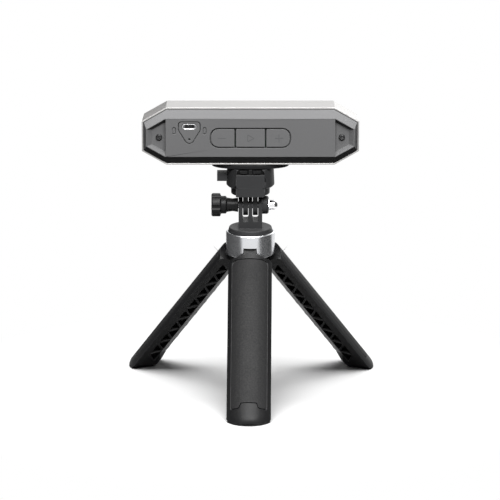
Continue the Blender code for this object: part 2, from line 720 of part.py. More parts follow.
def make_port(parent):
    """Port panel, the socket's metal shell and its tongue."""
    face = COVER_FACE + PORT_SINK
    lip_start = COVER_FACE + COVER_WALL + GAP
    lip_end = lip_start + PORT_LIP_THICKNESS
    socket_centre = (PORT_X, PORT_TOP - SOCKET_DROP)
    panel = prism(port_outline(PORT_GROOVE), face, lip_end, "y")
    join(panel, prism(port_outline(-PORT_LIP), lip_start, lip_end, "y"))
    cut(panel, prism(stadium(SOCKET_WIDTH + 2 * GAP, SOCKET_HEIGHT + 2 * GAP, socket_centre),
                     face - OVERRUN, lip_end + OVERRUN, "y"))
    cut(panel, rod(RESET_HOLE_RADIUS, face - OVERRUN, face + RESET_HOLE_DEPTH, "y",
                   (PORT_X, PORT_TOP - RESET_HOLE_DROP)))
    finish(panel, "port_panel", "cover_grey", parent)

    socket_end = BOARD_REAR - GAP
    socket = prism(stadium(SOCKET_WIDTH, SOCKET_HEIGHT, socket_centre), face, socket_end, "y")
    wide = stadium(SOCKET_THROAT_WIDTH + 2 * SOCKET_FLARE, SOCKET_THROAT_HEIGHT + 2 * SOCKET_FLARE,
                   socket_centre)
    throat = stadium(SOCKET_THROAT_WIDTH, SOCKET_THROAT_HEIGHT, socket_centre)
    throat_end = face + SOCKET_THROAT_DEPTH
    cut(socket, loft([(throat, throat_end), (throat, face + SOCKET_FLARE), (wide, face),
                      (wide, face - OVERRUN)], "y"))
    finish(socket, "socket_shell", "steel", parent)

    tongue = prism(rectangle((PORT_X - TONGUE_WIDTH / 2, socket_centre[1] - TONGUE_HEIGHT / 2),
                             (PORT_X + TONGUE_WIDTH / 2, socket_centre[1] + TONGUE_HEIGHT / 2)),
                   face + TONGUE_SET_BACK, throat_end - GAP, "y")
    finish(tongue, "socket_tongue", "black_plastic", parent)


def make_buttons(parent):
    """Three buttons with a lip behind the cover and a stem that presses its switch."""
    lip_start = COVER_FACE + COVER_WALL + GAP
    lip_end = lip_start + BUTTON_LIP_THICKNESS
    switch_top = BOARD_REAR - GAP - SWITCH_HEIGHT - SWITCH_PLUNGER_HEIGHT
    stem_end = switch_top - BUTTON_TRAVEL - BUTTON_SLACK
    outer = BUTTONS_RADIUS - BUTTON_GAP
    inner = BUTTON_INNER_RADIUS
    side_corners = {"button_minus": [outer, inner, inner, outer], "button_play": [inner] * 4,
                    "button_plus": [inner, outer, outer, inner]}
    spread = BUTTON_GAP + BUTTON_LIP
    lips = {"button_minus": [-spread, -GAP, -spread, -spread], "button_play": [-spread, -GAP, -spread, -GAP],
            "button_plus": [-spread, -spread, -spread, -GAP]}
    for name, (low, high) in button_outlines().items():
        corners = rectangle(low, high)
        button = prism(rounded(corners, side_corners[name]), COVER_FACE, lip_end, "y")
        join(button, prism(rounded(offset_outline(corners, lips[name]), side_corners[name]),
                           lip_start, lip_end, "y"))
        centre = ((low[0] + high[0]) / 2, (low[1] + high[1]) / 2)
        join(button, rod(BUTTON_STEM_RADIUS, lip_start, stem_end, "y", centre))
        finish(button, name, "cover_grey", parent)


# Scanner electronics and optics


def board_holes():
    return [(x, z) for x in (-BOARD_SCREW_X, BOARD_SCREW_X) for z in (-BOARD_SCREW_Z, BOARD_SCREW_Z)]


def make_electronics(parent):
    board = box((-BOARD_WIDTH / 2, BOARD_REAR, -BOARD_HEIGHT / 2),
                (BOARD_WIDTH / 2, BOARD_FRONT, BOARD_HEIGHT / 2))
    cut(board, *[rod(BOARD_SCREW_RADIUS + GAP, BOARD_REAR - OVERRUN, BOARD_FRONT + OVERRUN, "y", hole, 12)
                 for hole in board_holes()])
    finish(board, "main_board", "board_green", parent)

    for number, (x, z) in enumerate(board_holes(), 1):
        head_base = BOARD_REAR - GAP
        screw = turned([(0, head_base - BOARD_SCREW_HEAD_HEIGHT),
                        (BOARD_SCREW_HEAD_RADIUS, head_base - BOARD_SCREW_HEAD_HEIGHT),
                        (BOARD_SCREW_HEAD_RADIUS, head_base), (BOARD_SCREW_RADIUS, head_base),
                        (BOARD_SCREW_RADIUS, head_base + BOARD_SCREW_LENGTH),
                        (0, head_base + BOARD_SCREW_LENGTH)], 12, "y")
        finish(screw, f"board_screw_{number}", "steel", parent).location = (x, 0, z)

    base = BOARD_REAR - GAP
    for name, (low, high) in button_outlines().items():
        x, z = (low[0] + high[0]) / 2, (low[1] + high[1]) / 2
        half = SWITCH_SIZE / 2
        switch = box((x - half, base - SWITCH_HEIGHT, z - half), (x + half, base, z + half))
        join(switch, rod(SWITCH_PLUNGER_RADIUS, base - SWITCH_HEIGHT - SWITCH_PLUNGER_HEIGHT,
                         base - SWITCH_HEIGHT / 2,
                         "y", (x, z)))
        finish(switch, name.replace("button", "tact_switch"), "black_plastic", parent)

    near, far = BOARD_FRONT + GAP, CHASSIS_REAR - GAP
    half = HEAT_SINK_WIDTH / 2
    sink = box((HEAT_SINK_X - half, near, -HEAT_SINK_HEIGHT / 2),
               (HEAT_SINK_X + half, near + HEAT_SINK_BASE, HEAT_SINK_HEIGHT / 2))
    fins = int((HEAT_SINK_WIDTH - HEAT_SINK_FIN_THICKNESS) / HEAT_SINK_FIN_PITCH) + 1
    first = HEAT_SINK_X - (fins - 1) * HEAT_SINK_FIN_PITCH / 2
    for fin in range(fins):
        x = first + fin * HEAT_SINK_FIN_PITCH
        join(sink, box((x - HEAT_SINK_FIN_THICKNESS / 2, near + HEAT_SINK_BASE / 2, -HEAT_SINK_HEIGHT / 2),
                       (x + HEAT_SINK_FIN_THICKNESS / 2, far, HEAT_SINK_HEIGHT / 2)))
    finish(sink, "heat_sink", "aluminium", parent)


def barrels():
    """Each lens barrel as name: (x, barrel radius, bore radius)."""
    return {
        "camera_left": (-CAMERA_X, CAMERA_BARREL_RADIUS, CAMERA_BORE_RADIUS),
        "projector": (0, PROJECTOR_BARREL_RADIUS, PROJECTOR_BORE_RADIUS),
        "colour_camera": (COLOUR_CAMERA_X, COLOUR_BARREL_RADIUS, COLOUR_BORE_RADIUS),
        "camera_right": (CAMERA_X, CAMERA_BARREL_RADIUS, CAMERA_BORE_RADIUS),
    }


def make_optics(parent):
    fit = SHELL_WALL + GAP
    chassis = prism(shell_outline(CHASSIS_FRONT, fit), CHASSIS_REAR, CHASSIS_FRONT, "y")
    bottom = -SCANNER_HEIGHT / 2 + fit
    join(chassis, box((-BOSS_WIDTH / 2, -BOSS_DEPTH / 2, bottom), (BOSS_WIDTH / 2, BOSS_DEPTH / 2, BOSS_TOP)))
    for hole in board_holes():
        join(chassis, rod(CHASSIS_POST_RADIUS, BOARD_FRONT + GAP, CHASSIS_REAR + OVERRUN / 2, "y", hole))
    post_end = RECESS_FLOOR + RECESS_FLOOR_WALL + GAP
    for side in (1, -1):
        join(chassis, rod(COVER_POST_RADIUS, post_end, CHASSIS_REAR + OVERRUN / 2, "y",
                          (side * COVER_SCREW_X, 0)))
    cut(chassis, rod(INSERT_RADIUS + GAP, bottom - OVERRUN, INSERT_TOP + GAP))
    screw_end = BOARD_REAR - GAP + BOARD_SCREW_LENGTH + GAP
    for hole in board_holes():
        cut(chassis, rod(BOARD_SCREW_RADIUS + GAP, BOARD_REAR, screw_end, "y", hole, 12))
    screw_end = RECESS_FLOOR - GAP + COVER_SCREW_LENGTH + GAP
    for side in (1, -1):
        cut(chassis, rod(COVER_SCREW_RADIUS + GAP, post_end - OVERRUN, screw_end, "y",
                         (side * COVER_SCREW_X, 0), 12))
    finish(chassis, "optics_chassis", "aluminium", parent)

    insert = turned([(INSERT_BORE_RADIUS, -SCANNER_HEIGHT / 2), (INSERT_RADIUS, -SCANNER_HEIGHT / 2),
                     (INSERT_RADIUS, INSERT_TOP), (INSERT_BORE_RADIUS, INSERT_TOP)], closed=True)
    finish(insert, "tripod_insert", "brass", parent)

    panel = prism(shell_outline(SCANNER_FRONT, fit), PANEL_BACK, PANEL_FACE, "y")
    for x, radius, _ in barrels().values():
        cut(panel, rod(radius + GAP, PANEL_BACK - OVERRUN, PANEL_FACE + OVERRUN, "y", (x, 0), ROUND_STEPS))
    for x in (FILL_LIGHT_OUTER_X, FILL_LIGHT_INNER_X):
        cut(panel, rod(FILL_LIGHT_RADIUS + GAP, PANEL_BACK - OVERRUN, PANEL_FACE + OVERRUN, "y", (x, 0)))
    finish(panel, "front_panel", "gloss_black", parent)

    base = CHASSIS_FRONT + GAP
    for name, (x, radius, bore) in barrels().items():
        barrel = turned([(0, base), (radius, base), (radius, PANEL_FACE), (bore, PANEL_FACE),
                         (bore, base + BARREL_FLOOR), (0, base + BARREL_FLOOR)], axis="y")
        finish(barrel, name + "_barrel", "black_plastic", parent).location = (x, 0, 0)
        rim = PANEL_FACE - LENS_SINK - LENS_CROWN
        lens_radius = bore - GAP
        reach = math.hypot(lens_radius, LENS_CROWN) / 2
        ball = reach * math.hypot(lens_radius, LENS_CROWN) / LENS_CROWN
        half_angle = math.degrees(math.asin(lens_radius / ball))
        crown = arc_points((0, rim + LENS_CROWN - ball), ball, 90.0, 90.0 - half_angle, CORNER_STEPS)
        lens = turned(crown + [(lens_radius, rim - LENS_THICKNESS), (0, rim - LENS_THICKNESS)], axis="y")
        finish(lens, name + "_lens", "lens_glass", parent).location = (x, 0, 0)

    for name, x in (("fill_light_outer", FILL_LIGHT_OUTER_X), ("fill_light_inner", FILL_LIGHT_INNER_X)):
        dome = arc_points((0, PANEL_FACE - FILL_LIGHT_RADIUS), FILL_LIGHT_RADIUS, 90.0, 0.0, CORNER_STEPS)
        light = turned(dome + [(FILL_LIGHT_RADIUS, base), (0, base)], SMALL_ROUND_STEPS, "y")
        finish(light, name, "lamp_white", parent).location = (x, 0, 0)


# Quick release


def superellipse(half_width, half_depth, power, steps=40):
    """An oval between an ellipse and a rectangle."""
    points = []
    for step in range(steps):
        angle = math.tau * step / steps
        cosine, sine = math.cos(angle), math.sin(angle)
        x = math.copysign(abs(cosine) ** (2 / power), cosine) * half_width
        y = math.copysign(abs(sine) ** (2 / power), sine) * half_depth
        points.append((x, y))
    return points


def foot_outline(inset):
    """The dovetail's cross-section, widest below its flanks; a negative inset gives its channel."""
    right = [(FOOT_HALF_WIDTH, FOOT_BOTTOM), (FOOT_HALF_WIDTH, FOOT_TOP - FOOT_FLANK),
             (FOOT_TOP_HALF_WIDTH, FOOT_TOP)]
    return offset_outline(right + [(-x, z) for x, z in reversed(right)], inset)


def make_plate(parent):
    oval = (PLATE_WIDTH / 2, PLATE_DEPTH / 2)
    small = (oval[0] - PLATE_EDGE, oval[1] - PLATE_EDGE)
    plate = loft([(superellipse(*small, PLATE_SQUARENESS), PLATE_BOTTOM),
                  (superellipse(*oval, PLATE_SQUARENESS), PLATE_BOTTOM + PLATE_EDGE),
                  (superellipse(*oval, PLATE_SQUARENESS), PLATE_TOP - PLATE_EDGE),
                  (superellipse(*small, PLATE_SQUARENESS), PLATE_TOP)], "z")
    foot = prism(foot_outline(0), -FOOT_REAR, FOOT_FRONT, "y")
    tooth_rear = -FOOT_REAR - FOOT_TOOTH_REACH
    tooth_top = PLATE_BOTTOM - FOOT_TOOTH_DROP
    for side in (1, -1):
        inner, outer = sorted((side * FOOT_TOOTH_INNER, side * FOOT_TOOTH_OUTER))
        join(foot, box((inner, tooth_rear, tooth_top - FOOT_TOOTH_HEIGHT),
                       (outer, -FOOT_REAR + OVERRUN, tooth_top)))
    join(foot, box((-FOOT_POST_HALF_WIDTH, tooth_rear, FOOT_BOTTOM),
                   (FOOT_POST_HALF_WIDTH, -FOOT_REAR + OVERRUN, FOOT_TOP)))
    head_top = FOOT_BOTTOM + PLATE_SCREW_HEAD_SINK + PLATE_SCREW_HEAD_HEIGHT
    for piece in (plate, foot):
        cut(piece, rod(PLATE_SCREW_RADIUS + GAP, FOOT_BOTTOM - OVERRUN, PLATE_TOP + OVERRUN))
    cut(foot, rod(PLATE_SCREW_HEAD_RADIUS + GAP, FOOT_BOTTOM - OVERRUN, head_top + GAP))
    finish(plate, "mounting_plate", "black_plastic", parent)
    finish(foot, "dovetail_foot", "black_plastic", parent)

    head_bottom = FOOT_BOTTOM + PLATE_SCREW_HEAD_SINK
    tip = PLATE_TOP + PLATE_SCREW_REACH
    screw = turned([(0, head_bottom), (PLATE_SCREW_HEAD_RADIUS, head_bottom),
                    (PLATE_SCREW_HEAD_RADIUS, head_top),
                    (PLATE_SCREW_RADIUS, head_top), (PLATE_SCREW_RADIUS, tip), (0, tip)])
    cut(screw, box((-PLATE_SCREW_HEAD_RADIUS - OVERRUN, -PLATE_SCREW_SLOT_WIDTH / 2, head_bottom - OVERRUN),
                   (PLATE_SCREW_HEAD_RADIUS + OVERRUN, PLATE_SCREW_SLOT_WIDTH / 2,
                    head_bottom + PLATE_SCREW_SLOT_DEPTH)))
    finish(screw, "plate_screw", "steel", parent)


def tab_levels():
    """Bottom and top of the tab's head, and of its bar, above the pivot axis."""
    head_top = CLAMP_TOP - TAB_DROP
    head_bottom = head_top - TAB_HEIGHT
    middle = (head_top + head_bottom) / 2
    return head_bottom, head_top, middle - TAB_BAR_HEIGHT / 2, middle + TAB_BAR_HEIGHT / 2


def finger_outline(radius, top):
    """A rounded finger in side view, its end round the pivot axis."""
    return arc_points((0, 0), radius, 180.0, 360.0, SMALL_ROUND_STEPS // 2) + [(radius, top), (-radius, top)]


def make_clamp(parent):
    clamp = turned([(0, CLAMP_HEAD_BOTTOM), (CLAMP_HEAD_RADIUS - CLAMP_HEAD_EDGE, CLAMP_HEAD_BOTTOM),
                    (CLAMP_HEAD_RADIUS, CLAMP_HEAD_BOTTOM + CLAMP_HEAD_EDGE),
                    (CLAMP_HEAD_TOP_RADIUS, CLAMP_TOP),
                    (0, CLAMP_TOP)], 40)
    for side in (1, -1):
        near, far = sorted((side * CLAMP_BLOCK_HALF_DEPTH, side * (CLAMP_HEAD_RADIUS + OVERRUN)))
        cut(clamp, box((-CLAMP_HEAD_RADIUS, near, CLAMP_RISE), (CLAMP_HEAD_RADIUS, far, CLAMP_TOP + OVERRUN)))
    join(clamp, rod(CLAMP_NECK_RADIUS, CLAMP_RISE, CLAMP_HEAD_BOTTOM + OVERRUN, steps=ROUND_STEPS))
    block = rounded(rectangle((-CLAMP_BLOCK_HALF_WIDTH, -CLAMP_BLOCK_HALF_DEPTH),
                              (CLAMP_BLOCK_HALF_WIDTH, CLAMP_BLOCK_HALF_DEPTH)), CLAMP_BLOCK_EDGE, 2)
    join(clamp, prism(block, CLAMP_RISE, CLAMP_TOP, "z"))
    for side in (1, -1):
        inner, outer = sorted((side * FINGER_INNER, side * FINGER_OUTER))
        join(clamp, prism(finger_outline(PIVOT_RADIUS, CLAMP_RISE + OVERRUN), inner, outer, "x"))
    cut(clamp, rod(PIVOT_BORE_RADIUS, -PRONG_HALF_WIDTH, PRONG_HALF_WIDTH, "x"))
    rear = -CLAMP_HEAD_RADIUS - OVERRUN
    cut(clamp, prism(foot_outline(-GAP), rear, CHANNEL_FRONT, "y"))
    head_bottom, head_top, bar_bottom, bar_top = tab_levels()
    slot_end = -TAB_HEAD_END + TAB_TRAVEL + GAP
    cut(clamp, box((-TAB_REACH, -TAB_HALF_DEPTH - GAP, head_bottom - GAP),
                   (slot_end, TAB_HALF_DEPTH + GAP, head_top + GAP)))
    pocket_end = CHANNEL_HALF_WIDTH + PAD_THICKNESS + GAP + SPRING_LENGTH + GAP
    side = TAB_BAR_HALF_DEPTH + GAP
    cut(clamp, box((slot_end - OVERRUN, -side, bar_bottom - GAP), (pocket_end, side, bar_top + GAP)))
    pad_top = CLAMP_TOP - PAD_TOP_MARGIN
    cut(clamp, box((CHANNEL_HALF_WIDTH - OVERRUN, -side, bar_bottom - GAP),
                   (pocket_end, side, pad_top + GAP)))
    finish(clamp, "clamp_body", "mount_plastic", parent)


def make_release_tab(parent):
    head_bottom, head_top, bar_bottom, bar_top = tab_levels()
    outline = rounded(rectangle((-TAB_HALF_DEPTH, head_bottom), (TAB_HALF_DEPTH, head_top)), TAB_EDGE, 2)
    tab = prism(outline, -TAB_REACH, -TAB_HEAD_END, "x")
    pad_start = CHANNEL_HALF_WIDTH
    pad_end = pad_start + PAD_THICKNESS
    join(tab, box((-TAB_HEAD_END - OVERRUN, -TAB_BAR_HALF_DEPTH, bar_bottom),
                  (pad_end, TAB_BAR_HALF_DEPTH, bar_top)))
    join(tab, box((pad_start, -TAB_BAR_HALF_DEPTH, bar_bottom),
                  (pad_end, TAB_BAR_HALF_DEPTH, CLAMP_TOP - PAD_TOP_MARGIN)))
    finish(tab, "release_tab", "mount_plastic", parent)


def make_latch_spring(parent):
    """A small coil between the brake pad and the end of its pocket."""
    head_bottom, head_top, bar_bottom, bar_top = tab_levels()
    centre = (bar_bottom + CLAMP_TOP - PAD_TOP_MARGIN) / 2
    start = CHANNEL_HALF_WIDTH + PAD_THICKNESS + GAP + SPRING_WIRE / 2
    length = SPRING_LENGTH - SPRING_WIRE
    coil = bpy.data.curves.new("latch_spring", "CURVE")
    coil.dimensions = "3D"
    coil.bevel_depth = SPRING_WIRE / 2
    coil.bevel_resolution = 1
    coil.use_fill_caps = True
    spline = coil.splines.new("POLY")
    count = SPRING_TURNS * SPRING_STEPS
    spline.points.add(count)
    for index in range(count + 1):
        angle = math.tau * index / SPRING_STEPS
        spline.points[index].co = (start + length * index / count, SPRING_RADIUS * math.cos(angle),
                                   centre + SPRING_RADIUS * math.sin(angle), 1)
    item = bpy.data.objects.new("latch_spring", coil)
    bpy.context.scene.collection.objects.link(item)
    graph = bpy.context.evaluated_depsgraph_get()
    data = bpy.data.meshes.new_from_object(item.evaluated_get(graph))
    bpy.data.objects.remove(item)
    mesh = bmesh.new()
    mesh.from_mesh(data)
    bmesh.ops.remove_doubles(mesh, verts=mesh.verts, dist=SPRING_WIRE / ROUND_STEPS)
    finish(link_mesh(mesh), "latch_spring", "steel", parent)


# Pivot mount, thumb screw and nut


def make_pivot_mount(parent):
    mount = turned([(0, DISC_BOTTOM), (DISC_RADIUS, DISC_BOTTOM), (DISC_RADIUS, DISC_TOP - DISC_WAIST_DROP),
                    (DISC_SHOULDER_RADIUS, DISC_TOP - DISC_SHOULDER_DROP), (DISC_TOP_RADIUS, DISC_TOP),
                    (0, DISC_TOP)], 40)
    side = [(y, -z) for y, z in finger_outline(PIVOT_RADIUS, -DISC_TOP + OVERRUN / 2)]
    join(mount, prism(side, -PRONG_HALF_WIDTH, PRONG_HALF_WIDTH, "x"))
    boss_end = PRONG_HALF_WIDTH + BOSS_REACH
    join(mount, turned([(0, PRONG_HALF_WIDTH - OVERRUN / 2), (BOSS_RADIUS, PRONG_HALF_WIDTH - OVERRUN / 2),
                        (BOSS_RADIUS, boss_end - BOSS_CHAMFER), (BOSS_RADIUS - BOSS_CHAMFER, boss_end),
                        (0, boss_end)], axis="x"))
    for mirror in (1, -1):
        inner, outer = sorted((mirror * PRONG_SLOT_INNER, mirror * PRONG_SLOT_OUTER))
        slot = rounded(rectangle((inner, -PRONG_SLOT_DEPTH), (outer, PIVOT_RADIUS + OVERRUN)),
                       [PRONG_SLOT_RADIUS, PRONG_SLOT_RADIUS, 0, 0])
        cut(mount, prism(slot, -PIVOT_RADIUS - OVERRUN, PIVOT_RADIUS + OVERRUN, "y"))
    cut(mount, rod(PIVOT_BORE_RADIUS, -PRONG_HALF_WIDTH - OVERRUN, boss_end + OVERRUN, "x"))
    hexagon = (NUT_FLAT_RADIUS + GAP) / math.cos(math.pi / 6)
    cut(mount, rod(hexagon, boss_end - NUT_POCKET_DEPTH, boss_end + OVERRUN, "x", steps=6))
    cut(mount, rod(CENTRE_SCREW_RADIUS + GAP, DISC_BOTTOM - OVERRUN, DISC_BOTTOM + CENTRE_SCREW_REACH + GAP))
    finish(mount, "pivot_mount", "mount_plastic", parent)


def make_thumb_screw(parent):
    """Knob and bolt, both turned about the pivot axis."""
    neck_start = PRONG_HALF_WIDTH + GAP
    head_start = KNOB_REACH - KNOB_HEAD_LENGTH
    step_start = head_start - KNOB_STEP_LENGTH
    waist = (neck_start + step_start) / 2
    profile = [(0, neck_start), (KNOB_NECK_RADIUS, neck_start), (KNOB_WAIST_RADIUS, waist),
               (KNOB_NECK_RADIUS, step_start), (KNOB_STEP_RADIUS, step_start + KNOB_HEAD_EDGE),
               (KNOB_STEP_RADIUS, head_start), (KNOB_HEAD_RADIUS, head_start + KNOB_HEAD_EDGE),
               (KNOB_HEAD_RADIUS, KNOB_REACH - KNOB_HEAD_EDGE),
               (KNOB_HEAD_RADIUS - KNOB_HEAD_EDGE, KNOB_REACH),
               (0, KNOB_REACH)]
    knob = turned([(radius, -level) for radius, level in profile], 36, "x")
    for groove in range(KNOB_GROOVES):
        angle = math.tau * groove / KNOB_GROOVES
        reach = KNOB_HEAD_RADIUS + KNOB_GROOVE_OFFSET
        centre = (reach * math.cos(angle), reach * math.sin(angle))
        cut(knob, rod(KNOB_GROOVE_RADIUS, -KNOB_REACH - OVERRUN, -head_start + KNOB_HEAD_EDGE / 2, "x",
                      centre, 16))
    bolt_start = neck_start + BOLT_EMBED
    cut(knob, rod(BOLT_RADIUS + BOLT_CLEARANCE, -bolt_start - GAP, -neck_start + OVERRUN, "x"))
    finish(knob, "thumb_knob", "black_plastic", parent)

    nut_start = PRONG_HALF_WIDTH + BOSS_REACH - NUT_POCKET_DEPTH + GAP
    bolt_end = nut_start + NUT_BORE_DEPTH - GAP
    finish(rod(BOLT_RADIUS, -bolt_start, bolt_end, "x"), "thumb_bolt", "steel", parent)


def make_acorn_nut(parent):
    nut_start = PRONG_HALF_WIDTH + BOSS_REACH - NUT_POCKET_DEPTH + GAP
    hexagon = NUT_FLAT_RADIUS / math.cos(math.pi / 6)
    nut = rod(hexagon, nut_start, nut_start + NUT_HEX_LENGTH, "x", steps=6)
    dome = arc_points((0, NUT_REACH - NUT_DOME_RADIUS), NUT_DOME_RADIUS, 90.0, 0.0, 6)
    join(nut, turned(dome + [(NUT_DOME_RADIUS, nut_start + NUT_HEX_LENGTH / 2),
                             (0, nut_start + NUT_HEX_LENGTH / 2)],
                     axis="x"))
    cut(nut, rod(BOLT_RADIUS + BOLT_CLEARANCE, nut_start - OVERRUN, nut_start + NUT_BORE_DEPTH, "x"))
    finish(nut, "acorn_nut", "chrome", parent)


# Collar, hub and hinge pins


def hinge_slot(half_width, inner, outer, bottom, top, direction):
    """A box that runs out from the centre along one leg's direction."""
    slot = box((inner, -half_width, bottom), (outer, half_width, top))
    slot.data.transform(Matrix.Rotation(math.radians(direction), 4, "Z"))
    return slot


def make_collar(parent):
    inner = COLLAR_RADIUS - COLLAR_WALL
    collar = turned([(inner, COLLAR_BOTTOM), (COLLAR_RADIUS, COLLAR_BOTTOM),
                     (COLLAR_RADIUS, COLLAR_TOP - COLLAR_EDGE),
                     (COLLAR_RADIUS - COLLAR_EDGE, COLLAR_TOP), (inner, COLLAR_TOP)], 48, closed=True)
    for direction in LEG_DIRECTIONS.values():
        cut(collar, hinge_slot(TONGUE_HALF_WIDTH + GAP, HUB_SLOT_INNER, COLLAR_RADIUS + OVERRUN,
                               COLLAR_BOTTOM - OVERRUN, COLLAR_BOTTOM + NOTCH_HEIGHT, direction))
    finish(collar, "collar", "collar_metal", parent)


def make_hub(parent):
    hub = rod(HUB_RADIUS, HUB_BOTTOM, HUB_TOP, steps=40)
    for direction in LEG_DIRECTIONS.values():
        cut(hub, hinge_slot(TONGUE_HALF_WIDTH + GAP, HUB_SLOT_INNER, HUB_RADIUS + OVERRUN,
                            HUB_BOTTOM - OVERRUN, HINGE_HEIGHT + HUB_SLOT_HEADROOM, direction))
        bore = rod(PIN_RADIUS + GAP, -HUB_RADIUS, HUB_RADIUS, "y", (HINGE_RADIUS, HINGE_HEIGHT), 16)
        bore.data.transform(Matrix.Rotation(math.radians(direction), 4, "Z"))
        cut(hub, bore)
    cut(hub, rod(CENTRE_SCREW_RADIUS + GAP, HUB_BOTTOM - OVERRUN, HUB_TOP + OVERRUN))
    head_room = CENTRE_SCREW_HEAD_SINK + CENTRE_SCREW_HEAD_HEIGHT + GAP
    cut(hub, rod(CENTRE_SCREW_HEAD_RADIUS + GAP, HUB_BOTTOM - OVERRUN, HUB_BOTTOM + head_room))
    finish(hub, "hub", "black_plastic", parent)

    washer = turned([(CENTRE_SCREW_RADIUS + GAP, WASHER_BOTTOM), (WASHER_RADIUS, WASHER_BOTTOM),
                     (WASHER_RADIUS, WASHER_BOTTOM + WASHER_THICKNESS),
                     (CENTRE_SCREW_RADIUS + GAP, WASHER_BOTTOM + WASHER_THICKNESS)], closed=True)
    finish(washer, "friction_washer", "steel", parent)

    head_bottom = HUB_BOTTOM + CENTRE_SCREW_HEAD_SINK
    head_top = head_bottom + CENTRE_SCREW_HEAD_HEIGHT
    tip = PIVOT_HEIGHT + DISC_BOTTOM + CENTRE_SCREW_REACH
    screw = turned([(0, head_bottom), (CENTRE_SCREW_HEAD_RADIUS, head_bottom),
                    (CENTRE_SCREW_HEAD_RADIUS, head_top),
                    (CENTRE_SCREW_RADIUS, head_top), (CENTRE_SCREW_RADIUS, tip), (0, tip)], SMALL_ROUND_STEPS)
    cut(screw, rod(CENTRE_SCREW_SOCKET_RADIUS, head_bottom - OVERRUN,
                   head_bottom + CENTRE_SCREW_SOCKET_DEPTH, steps=6))
    finish(screw, "centre_screw", "steel", parent)


# Legs, built closed and upright with the hinge axis along Y through the origin


def sector_outline(radius, inner_edge, half_angle, clearance, steps):
    """A pie slice of the grip about the tripod's axis, cut off straight near the centre."""
    reach = math.sqrt(radius ** 2 - clearance ** 2)
    limit = half_angle - math.degrees(math.atan2(clearance, reach))
    arc = arc_points((-HINGE_RADIUS, 0), radius, -limit, limit, steps)
    side = math.radians(half_angle)
    half_width = inner_edge * math.tan(side) - clearance / math.cos(side)
    return arc + [(inner_edge - HINGE_RADIUS, half_width), (inner_edge - HINGE_RADIUS, -half_width)]


def lay_on_level(outline, height, shift=0):
    """Slide each point of an upright leg's outline along the leg to a height above the floor when open.

    The leg's outer points are also moved in towards the leg's middle by shift, in the open pose.
    """
    splay = math.radians(LEG_SPLAY)
    cosine, sine = math.cos(splay), math.sin(splay)
    middle = -HINGE_RADIUS + LEG_RADIUS / 2
    points = []
    for x, y in outline:
        spoke = Vector((x - middle, y))
        share = max(0.0, spoke.x / spoke.length)
        x, y = x - shift * share * spoke.x / spoke.length, y - shift * share * spoke.y / spoke.length
        points.append((x, y, (height - HINGE_HEIGHT - x * sine) / cosine))
    return points


def toe_shift(height):
    """How far the toe's face has curved in from the leg's slope, upright at the floor."""
    depth = max(0.0, TOE_HEIGHT - height)
    return math.tan(math.radians(LEG_SPLAY)) * depth ** 2 / (2 * TOE_HEIGHT)


def leg_sector(inner_edge, inset=0):
    return sector_outline(LEG_RADIUS - inset, inner_edge, LEG_HALF_ANGLE, LEG_SIDE_CLEARANCE + inset,
                          LEG_ARC_STEPS)


def grip_outline(inset):
    """The grip panel's outline as (across, along the leg), larger by a negative inset."""
    half_width = LEG_RADIUS * math.sin(math.radians(GRIP_HALF_ANGLE))
    lobe_end = -GRIP_BOTTOM_DROP - GRIP_LOBE_LENGTH
    corners = [(-half_width, lobe_end), (-GRIP_NOTCH_HALF_WIDTH, lobe_end),
               (-GRIP_NOTCH_TOP_HALF_WIDTH, -GRIP_BOTTOM_DROP),
               (GRIP_NOTCH_TOP_HALF_WIDTH, -GRIP_BOTTOM_DROP),
               (GRIP_NOTCH_HALF_WIDTH, lobe_end), (half_width, lobe_end),
               (half_width, -GRIP_TOP_DROP), (-half_width, -GRIP_TOP_DROP)]
    lobe, notch, top = GRIP_LOBE_RADIUS, GRIP_NOTCH_RADIUS, GRIP_TOP_RADIUS
    radii = [lobe, notch, notch, notch, notch, lobe, top, top]
    return rounded(offset_outline(corners, inset), radii, 3)


def grip_panel(inner_radius, outer_radius, inset):
    """A curved panel between two radii about the tripod's axis, cut to the grip's outline."""
    wide = GRIP_HALF_ANGLE + 2 * math.degrees(GRIP_GROOVE / LEG_RADIUS)
    centre = (-HINGE_RADIUS, 0)
    ring = (arc_points(centre, outer_radius, -wide, wide, GRIP_ARC_STEPS)
            + arc_points(centre, inner_radius, wide, -wide, GRIP_ARC_STEPS))
    outline = grip_outline(inset)
    levels = [z for _, z in outline]
    panel = prism(ring, min(levels) - OVERRUN, max(levels) + OVERRUN, "z")
    return trim(panel, prism(outline, 0, LEG_RADIUS, "x"))


def rib_pockets(side):
    """Triangular pockets between zigzag ribs, sunk square into one flat side of the leg."""
    pockets = []
    lattice = LEG_REACH - LATTICE_FOOT_MARGIN - LATTICE_TOP_DROP
    for bay in range(int(2 * lattice / RIB_PITCH) - 1):
        start = -LATTICE_TOP_DROP - bay * RIB_PITCH / 2
        near, far = (POCKET_OUTER, POCKET_INNER) if bay % 2 == 0 else (POCKET_INNER, POCKET_OUTER)
        corners = [(near, start), (near, start - RIB_PITCH), (far, start - RIB_PITCH / 2)]
        if bay % 2 == 0:
            corners.reverse()
        pocket = prism(offset_outline(corners, RIB_THICKNESS / 2), -POCKET_DEPTH - LEG_SIDE_CLEARANCE,
                       OVERRUN, "y")
        turn = Matrix.Rotation(math.radians(LEG_HALF_ANGLE), 4, "Z")
        pocket.data.transform(Matrix.Translation((-HINGE_RADIUS, 0, 0)) @ turn)
        if side < 0:
            pocket.data.transform(Matrix.Scale(-1, 4, (0, 1, 0)))
            pocket.data.flip_normals()
        pockets.append(pocket)
    return pockets


